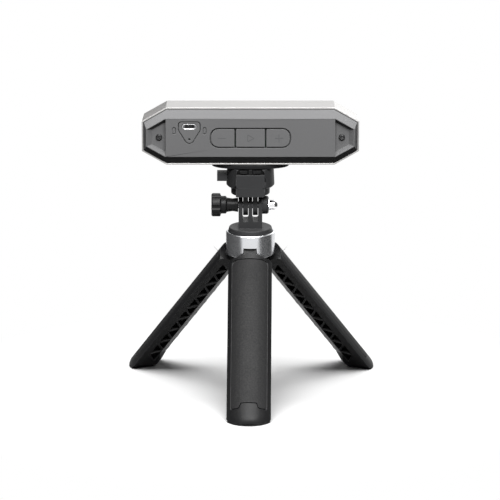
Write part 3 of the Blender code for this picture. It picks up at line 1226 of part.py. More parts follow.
def make_leg_body():
    heights = [SOLE_THICKNESS + GAP + (TOE_HEIGHT - SOLE_THICKNESS - GAP) * step / TOE_STEPS
               for step in range(TOE_STEPS + 1)]
    rings = [lay_on_level(leg_sector(FOOT_INNER_EDGE), height, toe_shift(height)) for height in heights]
    rings.append(lay_on_level(leg_sector(LEG_INNER_EDGE), FOOT_RAMP_HEIGHT))
    rings.append(lay_on_level(leg_sector(LEG_INNER_EDGE), HINGE_HEIGHT))
    body = skin(rings)

    corner = math.hypot(COLLAR_RADIUS - HINGE_RADIUS, COLLAR_DROP)
    swing = corner + LEG_SWING_CLEARANCE
    scoop = arc_points((0, 0), swing, -90.0, -40.0, 8)
    high = LEG_RADIUS
    scoop = [(-high, -swing)] + scoop + [(scoop[-1][0], high), (-high, high)]
    cut(body, prism(scoop, -LEG_RADIUS - OVERRUN, LEG_RADIUS + OVERRUN, "y"))

    half_width = LEG_RADIUS * math.sin(math.radians(LEG_HALF_ANGLE))
    for side in (1, -1):
        corner = (side * half_width, -swing)
        centre = (side * (half_width - SHOULDER_RADIUS), -swing - SHOULDER_RADIUS)
        start, end = (0.0, 90.0) if side > 0 else (90.0, 180.0)
        curve = arc_points(centre, SHOULDER_RADIUS, start, end, 5)
        far = side * (half_width + OVERRUN)
        high = corner[1] + COLLAR_DROP
        fence = [(far, centre[1]), (far, high), (centre[0], high)]
        outline = curve + list(reversed(fence)) if side > 0 else curve + fence
        cut(body, prism(outline, -HINGE_RADIUS, LEG_RADIUS, "x"))

    tongue_side = arc_points((0, 0), LEG_HINGE_RADIUS, 0.0, 180.0, 10)
    tongue_side += [(-LEG_HINGE_RADIUS, -TONGUE_ROOT), (TONGUE_SHOULDER_X, -TONGUE_ROOT),
                    (TONGUE_SHOULDER_X, -TONGUE_SHOULDER_DROP)]
    join(body, prism(tongue_side, -TONGUE_HALF_WIDTH, TONGUE_HALF_WIDTH, "y"))
    cut(body, rod(PIN_RADIUS + GAP, -LEG_RADIUS, LEG_RADIUS, "y", steps=16))
    cut(body, grip_panel(LEG_RADIUS - GRIP_THICKNESS - GAP, LEG_RADIUS + OVERRUN, -GRIP_GROOVE))
    for side in (1, -1):
        cut(body, *rib_pockets(side))
    return body


def make_sole():
    full = SOLE_THICKNESS
    rings = [lay_on_level(leg_sector(FOOT_TOE_EDGE, SOLE_INSET + SOLE_EDGE), 0, toe_shift(0)),
             lay_on_level(leg_sector(FOOT_TOE_EDGE, SOLE_INSET), SOLE_EDGE, toe_shift(SOLE_EDGE)),
             lay_on_level(leg_sector(FOOT_TOE_EDGE, SOLE_INSET), full, toe_shift(full))]
    return skin(rings)


def make_legs(parent):
    leg = make_leg_body()
    grip = grip_panel(LEG_RADIUS - GRIP_THICKNESS, LEG_RADIUS, 0)
    sole = make_sole()
    pin = rod(PIN_RADIUS, -PIN_HALF_LENGTH, PIN_HALF_LENGTH, "y", steps=16)
    patterns = {"leg": (leg, "black_plastic"), "grip_panel": (grip, "rubber"), "foot_pad": (sole, "rubber")}
    for name, direction in LEG_DIRECTIONS.items():
        angle = math.radians(direction)
        place = (HINGE_RADIUS * math.cos(angle), HINGE_RADIUS * math.sin(angle), HINGE_HEIGHT)
        pin_copy = pin.copy()
        bpy.context.scene.collection.objects.link(pin_copy)
        pin_copy.data = pin.data.copy()
        finish(pin_copy, "hinge_pin_" + name, "steel", parent)
        pin_copy.location = place
        pin_copy.rotation_euler = (0, 0, angle)
        hinge = empty("hinge_axis_" + name, parent, place, (0, -math.radians(LEG_SPLAY), angle))
        for kind, (pattern, finish_name) in patterns.items():
            piece = pattern.copy()
            piece.data = pattern.data.copy()
            bpy.context.scene.collection.objects.link(piece)
            finish(piece, kind + "_" + name, finish_name, hinge)
    for pattern in (leg, grip, sole, pin):
        bpy.data.objects.remove(pattern)


def centre_over_origin(root):
    """Move the whole part sideways so that its bounding box is centred over the origin."""
    bpy.context.view_layer.update()
    corners = [item.matrix_world @ vertex.co for item in bpy.data.objects if item.type == "MESH"
               for vertex in item.data.vertices]
    for axis in (0, 1):
        values = [corner[axis] for corner in corners]
        root.location[axis] = -(min(values) + max(values)) / 2


def main():
    for item in list(bpy.data.objects):
        bpy.data.objects.remove(item)
    root = empty("tripod_axis", None)
    make_collar(root)
    make_hub(root)
    make_legs(root)
    pivot = empty("pivot_axis", root, (0, 0, PIVOT_HEIGHT))
    make_pivot_mount(pivot)
    make_thumb_screw(pivot)
    make_acorn_nut(pivot)
    make_clamp(pivot)
    make_release_tab(pivot)
    make_latch_spring(pivot)
    make_plate(pivot)
    scanner = empty("scanner_centre", pivot, (0, 0, SCANNER_CENTRE))
    make_housing(scanner)
    make_rear_cover(scanner)
    make_cover_screws(scanner)
    make_port(scanner)
    make_buttons(scanner)
    make_electronics(scanner)
    make_optics(scanner)
    centre_over_origin(root)


main()
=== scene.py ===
# %% [markdown]
# # A handheld three-d scanner on its mini tripod
# The scanner is a flat octagonal box. Its tube is silver anodised aluminium and its rear cover is
# satin grey plastic with three buttons, a charging socket and two screws. It sits on a quick-release
# clamp, a three-prong pivot with a thumb screw, a bright collar and three round-backed legs.
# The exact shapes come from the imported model, so this lesson is about turning them into finished
# pieces: rounded edges, believable plastics, metals and rubber, and soft studio light.

# %% Load the frame
import json
import math
import bmesh
import bpy
from mathutils import Matrix, Vector

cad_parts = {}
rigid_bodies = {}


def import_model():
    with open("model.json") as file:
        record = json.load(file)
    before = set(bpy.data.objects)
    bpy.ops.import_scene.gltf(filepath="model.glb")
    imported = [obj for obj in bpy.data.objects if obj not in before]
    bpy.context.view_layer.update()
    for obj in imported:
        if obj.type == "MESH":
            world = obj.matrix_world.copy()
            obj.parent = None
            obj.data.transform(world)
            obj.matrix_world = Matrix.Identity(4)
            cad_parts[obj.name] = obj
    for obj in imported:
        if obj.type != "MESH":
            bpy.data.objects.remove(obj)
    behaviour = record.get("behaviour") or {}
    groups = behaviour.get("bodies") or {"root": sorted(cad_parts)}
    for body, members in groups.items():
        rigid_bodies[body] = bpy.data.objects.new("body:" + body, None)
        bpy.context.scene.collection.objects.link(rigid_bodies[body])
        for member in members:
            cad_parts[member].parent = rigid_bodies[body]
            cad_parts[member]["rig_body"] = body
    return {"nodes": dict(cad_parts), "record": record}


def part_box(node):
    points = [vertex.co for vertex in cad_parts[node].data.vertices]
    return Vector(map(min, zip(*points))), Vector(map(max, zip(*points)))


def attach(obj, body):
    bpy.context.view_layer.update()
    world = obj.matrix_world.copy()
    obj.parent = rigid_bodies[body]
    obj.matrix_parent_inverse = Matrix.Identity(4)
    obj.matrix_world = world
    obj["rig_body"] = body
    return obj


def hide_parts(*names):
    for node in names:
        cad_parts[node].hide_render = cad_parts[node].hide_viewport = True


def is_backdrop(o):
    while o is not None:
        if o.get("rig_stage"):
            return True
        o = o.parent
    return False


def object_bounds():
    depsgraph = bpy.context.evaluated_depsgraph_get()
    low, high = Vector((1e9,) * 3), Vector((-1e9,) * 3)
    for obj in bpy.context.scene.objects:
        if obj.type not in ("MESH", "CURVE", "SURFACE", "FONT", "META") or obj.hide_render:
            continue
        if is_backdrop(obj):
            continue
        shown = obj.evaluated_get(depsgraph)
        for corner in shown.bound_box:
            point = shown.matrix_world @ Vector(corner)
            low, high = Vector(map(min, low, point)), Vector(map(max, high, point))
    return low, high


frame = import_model()
nodes = frame["nodes"]
scene = bpy.context.scene
cad_low, cad_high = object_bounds()
AXIS = (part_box("collar")[0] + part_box("collar")[1]) / 2
AXIS.z = 0.0

# %% [markdown]
# ## The camera
# The picture was taken with a long lens from a little above, straight on to the rear cover. A long
# lens keeps the legs from looking splayed, so the camera stands 2.5 metres away with a narrow view
# and looks down by 15.4 degrees at a point half way up the tripod's axis.

# %% Place the camera
DOWN = math.radians(15.4)
DISTANCE = 2.527
AIM = AXIS + Vector((-0.0003, 0.0, 0.1005))

camera_data = bpy.data.cameras.new("camera")
camera_data.lens = 252.0
camera_data.sensor_width = 36.0
camera_data.clip_end = 50.0
camera = bpy.data.objects.new("camera", camera_data)
camera.location = AIM + Vector((0.0, -math.cos(DOWN), math.sin(DOWN))) * DISTANCE
camera.rotation_euler = (math.pi / 2 - DOWN, 0.0, 0.0)
scene.collection.objects.link(camera)
scene.camera = camera
scene.view_settings.view_transform = "Standard"
print("camera at", [round(v, 4) for v in camera.location])

# %% [markdown]
# ## Small helpers for shader nodes
# Every finish below is a chain of nodes. Three helpers keep the chains readable: one adds a node and
# fills its inputs, one does arithmetic, and one starts a node group with named inputs and outputs.

# %% Node helpers
def add_node(tree, kind, inputs=None, **settings):
    """Add a node, set its own settings, and feed its inputs with numbers or with other sockets."""
    node = tree.nodes.new(kind)
    for label, value in settings.items():
        setattr(node, label, value)
    for label, value in (inputs or {}).items():
        socket = node.inputs[label]
        if isinstance(value, bpy.types.NodeSocket):
            tree.links.new(value, socket)
        else:
            socket.default_value = value
    return node


def sum_up(tree, operation, first, second=0.0, clamp=False):
    """One Math node; first and second are numbers or sockets."""
    node = add_node(tree, "ShaderNodeMath", {0: first, 1: second}, operation=operation, use_clamp=clamp)
    return node.outputs[0]


def blend_colours(tree, factor, first, second, mode="MIX"):
    """One Mix node for colours, with its factor kept between 0 and 1."""
    node = add_node(tree, "ShaderNodeMix", data_type="RGBA", blend_type=mode, clamp_factor=True)
    for index, value in ((0, factor), (6, first), (7, second)):
        if isinstance(value, bpy.types.NodeSocket):
            tree.links.new(value, node.inputs[index])
        else:
            node.inputs[index].default_value = value
    return node.outputs[2]


def spread(tree, value, low, high, to_low=0.0, to_high=1.0):
    """Map Range: value from low..high to to_low..to_high, clamped."""
    node = add_node(tree, "ShaderNodeMapRange", {"Value": value, "From Min": low, "From Max": high,
                                                 "To Min": to_low, "To Max": to_high})
    return node.outputs[0]


def start_group(name, inputs, outputs):
    """A shader node group; inputs are (name, kind, value) and outputs are (name, kind)."""
    group = bpy.data.node_groups.new(name, "ShaderNodeTree")
    for label, kind, value in inputs:
        socket = group.interface.new_socket(name=label, in_out="INPUT", socket_type="NodeSocket" + kind)
        if value is not None:
            socket.default_value = value
    for label, kind in outputs:
        group.interface.new_socket(name=label, in_out="OUTPUT", socket_type="NodeSocket" + kind)
    entry = group.nodes.new("NodeGroupInput")
    leave = group.nodes.new("NodeGroupOutput")
    return group, entry.outputs, leave.inputs


print("helpers ready")

# %% [markdown]
# ## Fine grain
# Moulded plastic, blasted metal and rubber are never mirror flat. Up close they have a texture of a
# few tenths of a millimetre. Two sizes of noise and a layer of tiny cells give a height that feeds a
# Bump node. The numbers are per metre, so a scale of 3000 makes grains about a third of a millimetre.

# %% Grain group
grain_group, given, result = start_group(
    "fine grain",
    [("Vector", "Vector", None), ("Scale", "Float", 3000.0), ("Cells", "Float", 0.4)],
    [("Height", "Float"), ("Speckle", "Float")])
noise = add_node(grain_group, "ShaderNodeTexNoise", {"Vector": given["Vector"], "Scale": given["Scale"],
                                                     "Detail": 3.0, "Roughness": 0.65})
wide = add_node(grain_group, "ShaderNodeTexNoise",
                {"Vector": given["Vector"], "Scale": sum_up(grain_group, "MULTIPLY", given["Scale"], 0.23),
                 "Detail": 2.0})
cells = add_node(grain_group, "ShaderNodeTexVoronoi", {"Vector": given["Vector"], "Scale": given["Scale"]})
pits = sum_up(grain_group, "MULTIPLY", cells.outputs["Distance"], given["Cells"])
rough = sum_up(grain_group, "MULTIPLY", wide.outputs[0], 0.5)
height = sum_up(grain_group, "ADD", sum_up(grain_group, "ADD", noise.outputs[0], rough), pits)
grain_group.links.new(height, result["Height"])
grain_group.links.new(spread(grain_group, noise.outputs[0], 0.32, 0.68), result["Speckle"])
print("group:", grain_group.name, "with", len(grain_group.nodes), "nodes")

# %% [markdown]
# ## Tone
# No moulding or casting has exactly one colour. A slow cloud of noise makes a surface a few per cent
# lighter here and darker there, and the same cloud makes it a little glossier or duller, as handling
# does.

# %% Tone group
tone_group, given, result = start_group(
    "tone",
    [("Vector", "Vector", None), ("Colour", "Color", (0.5, 0.5, 0.5, 1.0)), ("Scale", "Float", 40.0),
     ("Spread", "Float", 0.06), ("Speckle", "Float", 0.5), ("Speckle Amount", "Float", 0.0)],
    [("Colour", "Color"), ("Cloud", "Float")])
cloud = add_node(tone_group, "ShaderNodeTexNoise", {"Vector": given["Vector"], "Scale": given["Scale"],
                                                    "Detail": 5.0, "Roughness": 0.6})
mask = spread(tone_group, cloud.outputs[0], 0.3, 0.7)
swing = sum_up(tone_group, "MULTIPLY", sum_up(tone_group, "SUBTRACT", mask, 0.5), given["Spread"])
dots = sum_up(tone_group, "MULTIPLY", sum_up(tone_group, "SUBTRACT", given["Speckle"], 0.5),
              given["Speckle Amount"])
gain = sum_up(tone_group, "ADD", sum_up(tone_group, "ADD", swing, dots), 1.0)
scaled = add_node(tone_group, "ShaderNodeVectorMath", {0: given["Colour"], "Scale": gain}, operation="SCALE")
tone_group.links.new(scaled.outputs[0], result["Colour"])
tone_group.links.new(mask, result["Cloud"])
print("group:", tone_group.name, "with", len(tone_group.nodes), "nodes")

# %% [markdown]
# ## Worn edges and painted edge highlights
# Paint, anodising and texture wear off where fingers and tables touch first, along the outside edges.
# The same lighter edge colour also stands in for the thin highlight that light leaves along an edge, so
# it is partly real wear and partly a painted highlight. The Bevel node gives the normal that a rounded
# edge would have. Where it differs from the real normal there is an edge, and a noise breaks the wear up
# so that it isn't an even outline.

# %% Edge wear and painted highlight group
edge_wear_highlight_group, given, result = start_group(
    "edge wear and painted highlight",
    [("Vector", "Vector", None), ("Colour", "Color", (0.5, 0.5, 0.5, 1.0)),
     ("Wear And Highlight Colour", "Color", (0.8, 0.8, 0.8, 1.0)), ("Width", "Float", 0.0006), ("Amount", "Float", 0.4)],
    [("Colour", "Color"), ("Wear And Highlight", "Float")])
rounded = add_node(edge_wear_highlight_group, "ShaderNodeBevel", {"Radius": given["Width"]}, samples=4)
real = add_node(edge_wear_highlight_group, "ShaderNodeNewGeometry")
alike = add_node(edge_wear_highlight_group, "ShaderNodeVectorMath", {0: rounded.outputs[0], 1: real.outputs["Normal"]},
                 operation="DOT_PRODUCT")
edge = spread(edge_wear_highlight_group, alike.outputs["Value"], 0.995, 0.86)
patchy = add_node(edge_wear_highlight_group, "ShaderNodeTexNoise", {"Vector": given["Vector"], "Scale": 420.0, "Detail": 4.0})
broken = spread(edge_wear_highlight_group, patchy.outputs[0], 0.38, 0.62)
# This mask lightens the edges: partly wear, partly a painted edge highlight.
edge_wear_and_highlight = sum_up(edge_wear_highlight_group, "MULTIPLY", sum_up(edge_wear_highlight_group, "MULTIPLY", edge, broken), given["Amount"],
              clamp=True)
edge_wear_highlight_group.links.new(blend_colours(edge_wear_highlight_group, edge_wear_and_highlight, given["Colour"], given["Wear And Highlight Colour"]), result["Colour"])
edge_wear_highlight_group.links.new(edge_wear_and_highlight, result["Wear And Highlight"])
print("group:", edge_wear_highlight_group.name, "with", len(edge_wear_highlight_group.nodes), "nodes")

# %% [markdown]
# ## Dust
# Dust settles on faces that look up. The normal's height picks those faces, and a fine noise scatters
# the dust so that it only takes the deepest black off the plastic.

# %% Dust group
dust_group, given, result = start_group(
    "dust",
    [("Vector", "Vector", None), ("Colour", "Color", (0.5, 0.5, 0.5, 1.0)), ("Amount", "Float", 0.05)],
    [("Colour", "Color"), ("Dust", "Float")])
facing = add_node(dust_group, "ShaderNodeSeparateXYZ",
                  {0: add_node(dust_group, "ShaderNodeNewGeometry").outputs["Normal"]})
upward = spread(dust_group, facing.outputs["Z"], 0.35, 1.0)
specks = add_node(dust_group, "ShaderNodeTexNoise", {"Vector": given["Vector"], "Scale": 900.0, "Detail": 6.0,
                                                     "Roughness": 0.75})
scatter = spread(dust_group, specks.outputs[0], 0.42, 0.72)
dust = sum_up(dust_group, "MULTIPLY", sum_up(dust_group, "MULTIPLY", upward, scatter), given["Amount"],
              clamp=True)
dust_group.links.new(blend_colours(dust_group, dust, given["Colour"], (0.42, 0.41, 0.39, 1.0)),
                     result["Colour"])
dust_group.links.new(dust, result["Dust"])
print("group:", dust_group.name, "with", len(dust_group.nodes), "nodes")

# %% [markdown]
# ## One recipe for every solid finish
# Colour goes through tone, worn edges with their painted edge highlight, and dust in turn. Roughness
# follows the cloud and rises where there is dust. The grain becomes a bump with a depth in metres. The
# finishes below differ in their numbers, and the special ones add their own pattern to this recipe.

# %% Finish recipe
def use_group(tree, group, inputs):
    node = add_node(tree, "ShaderNodeGroup", node_tree=group)
    for label, value in inputs.items():
        if isinstance(value, bpy.types.NodeSocket):
            tree.links.new(value, node.inputs[label])
        else:
            node.inputs[label].default_value = value
    return node.outputs


def make_finish(name, colour, roughness, metallic=0.0, specular=0.5, grain=3000.0, depth=0.00001, cells=0.4,
                cloud=40.0, variation=0.06, speckle=0.04, edge_wear_and_highlight=None, wear_and_highlight_amount=0.3, width=0.0006, dust_amount=0.05,
                coat=0.0):
    """A Principled material with grain, tone, worn edges with a painted edge highlight, and dust; roughness is
    (low, high).
    """
    material = bpy.data.materials.new(name)
    material.use_nodes = True
    tree = material.node_tree
    shader = tree.nodes["Principled BSDF"]
    place = add_node(tree, "ShaderNodeTexCoord").outputs["Object"]
    texture = use_group(tree, grain_group, {"Vector": place, "Scale": grain, "Cells": cells})
    toned = use_group(tree, tone_group, {"Vector": place, "Colour": colour + (1.0,), "Scale": cloud,
                                         "Spread": variation, "Speckle": texture["Speckle"],
                                         "Speckle Amount": speckle})
    # The lighter edge colour is partly wear and partly a painted highlight along the edges.
    rubbed_and_highlit = use_group(tree, edge_wear_highlight_group, {"Vector": place, "Colour": toned["Colour"],
                                          "Wear And Highlight Colour": (edge_wear_and_highlight or colour) + (1.0,), "Width": width,
                                          "Amount": wear_and_highlight_amount})
    dusty = use_group(tree, dust_group, {"Vector": place, "Colour": rubbed_and_highlit["Colour"], "Amount": dust_amount})
    gloss = sum_up(tree, "MULTIPLY_ADD", dusty["Dust"], 0.4)
    gloss.node.inputs[2].default_value = 0.0
    tree.links.new(spread(tree, toned["Cloud"], 0.0, 1.0, roughness[0], roughness[1]), gloss.node.inputs[2])
    bump = add_node(tree, "ShaderNodeBump", {"Strength": 1.0, "Distance": depth, "Height": texture["Height"]})
    tree.links.new(dusty["Colour"], shader.inputs["Base Color"])
    tree.links.new(gloss, shader.inputs["Roughness"])
    tree.links.new(bump.outputs[0], shader.inputs["Normal"])
    shader.inputs["Metallic"].default_value = metallic
    shader.inputs["Specular IOR Level"].default_value = specular
    shader.inputs["Coat Weight"].default_value = coat
    return material


print("recipe ready")

# %% [markdown]
# ## Silver anodising
# The tube is aluminium, blasted with fine beads and anodised. It is metal, but the blasted skin scatters
# light, so reflections are soft. Warm grey, a very fine grain and brighter edges, partly worn and partly a
# painted highlight, are enough. A little less than full metallic lets the lamps shape it from every side.

# %% Silver
silver = make_finish("housing silver", (0.45, 0.443, 0.436), (0.33, 0.42), metallic=0.9, grain=4200.0,
                     depth=0.000004, cells=0.2, cloud=18.0, variation=0.025, speckle=0.03,
                     edge_wear_and_highlight=(0.86, 0.85, 0.84), wear_and_highlight_amount=0.55, width=0.0005, dust_amount=0.04)
print(silver.name)

# %% [markdown]
# ## Satin plastics
# The rear cover and its buttons are mid grey with a fine satin texture. The clamp, the pivot and the
# legs are dark plastics with a coarser grain. The specular level is close to nothing on the cover and
# its buttons, because their fine matt texture breaks up the reflection of the white room.

# %% Plastics
cover_grey = make_finish("cover grey", (0.137, 0.137, 0.139), (0.46, 0.56), specular=0.006, grain=3600.0,
                         depth=0.000006, cloud=22.0, variation=0.04, speckle=0.06,
                         edge_wear_and_highlight=(0.30, 0.30, 0.30), wear_and_highlight_amount=0.35, width=0.0004, dust_amount=0.03)
button_grey = make_finish("button grey", (0.137, 0.137, 0.139), (0.42, 0.52), specular=0.008, grain=3900.0,
                          depth=0.000005, cloud=60.0, variation=0.05, speckle=0.05,
                          edge_wear_and_highlight=(0.26, 0.26, 0.26), wear_and_highlight_amount=0.35, width=0.0004, dust_amount=0.03)
symbol_grey = make_finish("button symbol", (0.088, 0.088, 0.090), (0.55, 0.65), specular=0.2, grain=3900.0,
                          depth=0.000004, cloud=90.0, variation=0.08, speckle=0.05, wear_and_highlight_amount=0.0, dust_amount=0.02)
mount_plastic = make_finish("mount plastic", (0.030, 0.0304, 0.0315), (0.40, 0.52), specular=0.18,
                            grain=2600.0, depth=0.00001, cloud=60.0, variation=0.10, speckle=0.08,
                            edge_wear_and_highlight=(0.16, 0.16, 0.165), wear_and_highlight_amount=0.45, width=0.0006, dust_amount=0.06)
black_plastic = make_finish("black plastic", (0.0085, 0.0086, 0.009), (0.36, 0.48), specular=0.16,
                            grain=2400.0, depth=0.000012, cloud=45.0, variation=0.12, speckle=0.10,
                            edge_wear_and_highlight=(0.11, 0.11, 0.115), wear_and_highlight_amount=0.40, width=0.0006, dust_amount=0.06)
print([m.name for m in (cover_grey, button_grey, symbol_grey, mount_plastic, black_plastic)])

# %% [markdown]
# ## Rubber
# The grip panels and the soles are moulded rubber: duller than the plastic, with larger pebbles that
# give the fingers a hold, and a grey bloom where dust and skin have been.

# %% Rubber
rubber = make_finish("rubber", (0.0125, 0.0125, 0.013), (0.58, 0.72), specular=0.15, grain=1500.0,
                     depth=0.00003, cells=0.9, cloud=55.0, variation=0.14, speckle=0.22,
                     edge_wear_and_highlight=(0.12, 0.12, 0.12), wear_and_highlight_amount=0.30, width=0.0005, dust_amount=0.10)
print(rubber.name)

# %% [markdown]
# ## Turned and plated metals
# The collar is turned on a lathe, so its marks run round it. They come from a noise that is squeezed
# along the axis, many times finer along Z than round. The nut is plated and nearly a mirror, the
# screws are bright steel or black oxide, and the insert is brass.

# %% Turned metal helper
def add_turning(material, squeeze, depth):
    """Add lathe marks to a finish: noise squeezed along one axis, added on top of the grain's bump."""
    tree = material.node_tree
    shader = tree.nodes["Principled BSDF"]
    place = add_node(tree, "ShaderNodeTexCoord").outputs["Object"]
    mapping = add_node(tree, "ShaderNodeMapping", {"Vector": place, "Scale": squeeze})
    marks = add_node(tree, "ShaderNodeTexNoise", {"Vector": mapping.outputs[0], "Scale": 1.0, "Detail": 4.0,
                                                  "Roughness": 0.7})
    first = shader.inputs["Normal"].links[0].from_socket
    lines = add_node(tree, "ShaderNodeBump", {"Strength": 1.0, "Distance": depth, "Height": marks.outputs[0],
                                              "Normal": first})
    tree.links.new(lines.outputs[0], shader.inputs["Normal"])
    return material


collar_metal = add_turning(make_finish("collar metal", (0.72, 0.73, 0.75), (0.20, 0.27), metallic=1.0,
                                       grain=4000.0, depth=0.000002, cloud=30.0, variation=0.03, speckle=0.02,
                                       edge_wear_and_highlight=(0.9, 0.9, 0.9), wear_and_highlight_amount=0.5, width=0.0005, dust_amount=0.02),
                           (60.0, 60.0, 9000.0), 0.000004)
chrome = add_turning(make_finish("plated nut", (0.86, 0.86, 0.87), (0.05, 0.12), metallic=1.0, grain=900.0,
                                 depth=0.000002, cloud=200.0, variation=0.03, speckle=0.01,
                                 edge_wear_and_highlight=(0.95, 0.95, 0.95), wear_and_highlight_amount=0.3, width=0.0003, dust_amount=0.02),
                     (5000.0, 120.0, 120.0), 0.0000015)
steel = make_finish("bright steel", (0.56, 0.56, 0.57), (0.22, 0.34), metallic=1.0, grain=5000.0,
                    depth=0.000004, cloud=150.0, variation=0.06, speckle=0.05, edge_wear_and_highlight=(0.75, 0.75, 0.75),
                    wear_and_highlight_amount=0.4, width=0.0003, dust_amount=0.03)
screw_black = make_finish("black oxide", (0.035, 0.035, 0.036), (0.30, 0.42), metallic=0.8, grain=5000.0,
                          depth=0.000004, cloud=200.0, variation=0.12, speckle=0.08, edge_wear_and_highlight=(0.30, 0.30, 0.30),
                          wear_and_highlight_amount=0.5, width=0.0003, dust_amount=0.04)
aluminium = add_turning(make_finish("machined aluminium", (0.72, 0.73, 0.74), (0.28, 0.38), metallic=1.0,
                                    grain=3000.0, depth=0.000004, cloud=40.0, variation=0.05, speckle=0.04,
                                    edge_wear_and_highlight=(0.85, 0.85, 0.86), wear_and_highlight_amount=0.4, width=0.0005, dust_amount=0.04),
                        (4000.0, 200.0, 200.0), 0.000004)
brass = add_turning(make_finish("turned brass", (0.70, 0.52, 0.25), (0.22, 0.32), metallic=1.0, grain=4000.0,
                                depth=0.000003, cloud=90.0, variation=0.08, speckle=0.04,
                                edge_wear_and_highlight=(0.85, 0.68, 0.38), wear_and_highlight_amount=0.4, width=0.0004, dust_amount=0.03),
                    (80.0, 80.0, 7000.0), 0.000004)
print([m.name for m in (collar_metal, chrome, steel, screw_black, aluminium, brass)])

# %% [markdown]
# ## Gloss black, glass and lamps
# The lens side has a polished black panel. Finger marks make it patchy, so its roughness follows a
# stretched noise. The lenses are dark glass with a coating. The violet reflection that the coating shows at a
# glance is painted into the base colour by Layer Weight. The fill lights are clear moulded domes with fine
# rings.

# %% Lens side finishes
gloss_black = make_finish("polished black", (0.008, 0.008, 0.010), (0.06, 0.10), specular=0.5, grain=800.0,
                          depth=0.000001, cloud=14.0, variation=0.10, speckle=0.02, edge_wear_and_highlight=(0.05, 0.05, 0.05),
                          wear_and_highlight_amount=0.2, width=0.0004, dust_amount=0.03, coat=0.4)
tree = gloss_black.node_tree
shader = tree.nodes["Principled BSDF"]
place = add_node(tree, "ShaderNodeTexCoord").outputs["Object"]
stretched = add_node(tree, "ShaderNodeMapping", {"Vector": place, "Scale": (60.0, 60.0, 150.0)})
smears = add_node(tree, "ShaderNodeTexNoise", {"Vector": stretched.outputs[0], "Scale": 1.0, "Detail": 5.0,
                                               "Distortion": 0.8})
tree.links.new(spread(tree, smears.outputs[0], 0.45, 0.75, 0.05, 0.24), shader.inputs["Roughness"])

lens_glass = make_finish("coated lens", (0.012, 0.010, 0.022), (0.02, 0.05), specular=0.6, grain=600.0,
                         depth=0.0000005, cloud=120.0, variation=0.2, speckle=0.0, wear_and_highlight_amount=0.0, dust_amount=0.02,
                         coat=1.0)
tree = lens_glass.node_tree
shader = tree.nodes["Principled BSDF"]
plain = shader.inputs["Base Color"].links[0].from_socket
# The violet of the coating's reflection at a glance is painted into the base colour here.
painted_violet_glance = add_node(tree, "ShaderNodeLayerWeight", {"Blend": 0.35})
tree.links.new(blend_colours(tree, spread(tree, painted_violet_glance.outputs["Facing"], 0.1, 0.9, 0.0, 0.8), plain,
                             (0.10, 0.03, 0.22, 1.0)), shader.inputs["Base Color"])

lamp_white = make_finish("clear lamp", (0.78, 0.78, 0.74), (0.10, 0.18), specular=0.5, grain=1800.0,
                         depth=0.000002, cloud=300.0, variation=0.06, speckle=0.02, wear_and_highlight_amount=0.0, dust_amount=0.02,
                         coat=0.5)
print([m.name for m in (gloss_black, lens_glass, lamp_white)])

# %% [markdown]
# ## Circuit board
# The board inside is green solder mask over copper. Cells with straight edges look like the copper
# areas under the mask, and the gaps between them are darker.

# %% Board
board_green = make_finish("solder mask", (0.02, 0.12, 0.05), (0.28, 0.38), specular=0.5, grain=2500.0,
                          depth=0.000003, cloud=80.0, variation=0.08, speckle=0.03, edge_wear_and_highlight=(0.30, 0.26, 0.12),
                          wear_and_highlight_amount=0.4, width=0.0004, dust_amount=0.05)
tree = board_green.node_tree
shader = tree.nodes["Principled BSDF"]
place = add_node(tree, "ShaderNodeTexCoord").outputs["Object"]
copper = add_node(tree, "ShaderNodeTexVoronoi", {"Vector": place, "Scale": 260.0, "Randomness": 0.7},
                  distance="MANHATTAN", feature="F1")
plain = shader.inputs["Base Color"].links[0].from_socket
darker = spread(tree, copper.outputs["Distance"], 0.45, 0.55)
tree.links.new(blend_colours(tree, darker, plain, (0.008, 0.055, 0.022, 1.0)), shader.inputs["Base Color"])
print(board_green.name)

# %% [markdown]
# ## Which finish goes where
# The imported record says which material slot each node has. One table turns slots into finishes, and
# every node gets its material from it, also those that hide inside.

# %% Dress the nodes
FINISHES = {"housing_silver": silver, "cover_grey": cover_grey, "button_grey": button_grey,
            "screw_black": screw_black, "steel": steel, "black_plastic": black_plastic,
            "mount_plastic": mount_plastic, "board_green": board_green, "aluminium": aluminium,
            "brass": brass, "gloss_black": gloss_black, "lens_glass": lens_glass, "lamp_white": lamp_white,
            "chrome": chrome, "collar_metal": collar_metal, "rubber": rubber}
slot_of = {part["node"]: part["material_slot"] for part in frame["record"]["subparts"]}
for name, node in nodes.items():
    finish = FINISHES[slot_of[name]]
    if node.data.materials:
        node.data.materials[0] = finish
    else:
        node.data.materials.append(finish)
print("dressed", len(nodes), "nodes")

# %% [markdown]
# ## Rounded edges
# Nothing that is moulded or machined has a perfectly sharp edge, and it is the thin highlight along an
# edge that makes a part look real. Each visible node gets a stand-in: a copy of its mesh with doubles
# merged, flat areas joined and cut afresh into even triangles, and a Bevel modifier of a tenth of a
# millimetre or more. Large faces set the normals round them, so that flat faces stay flat up to the
# rounding. The copy stays exactly where the node is.

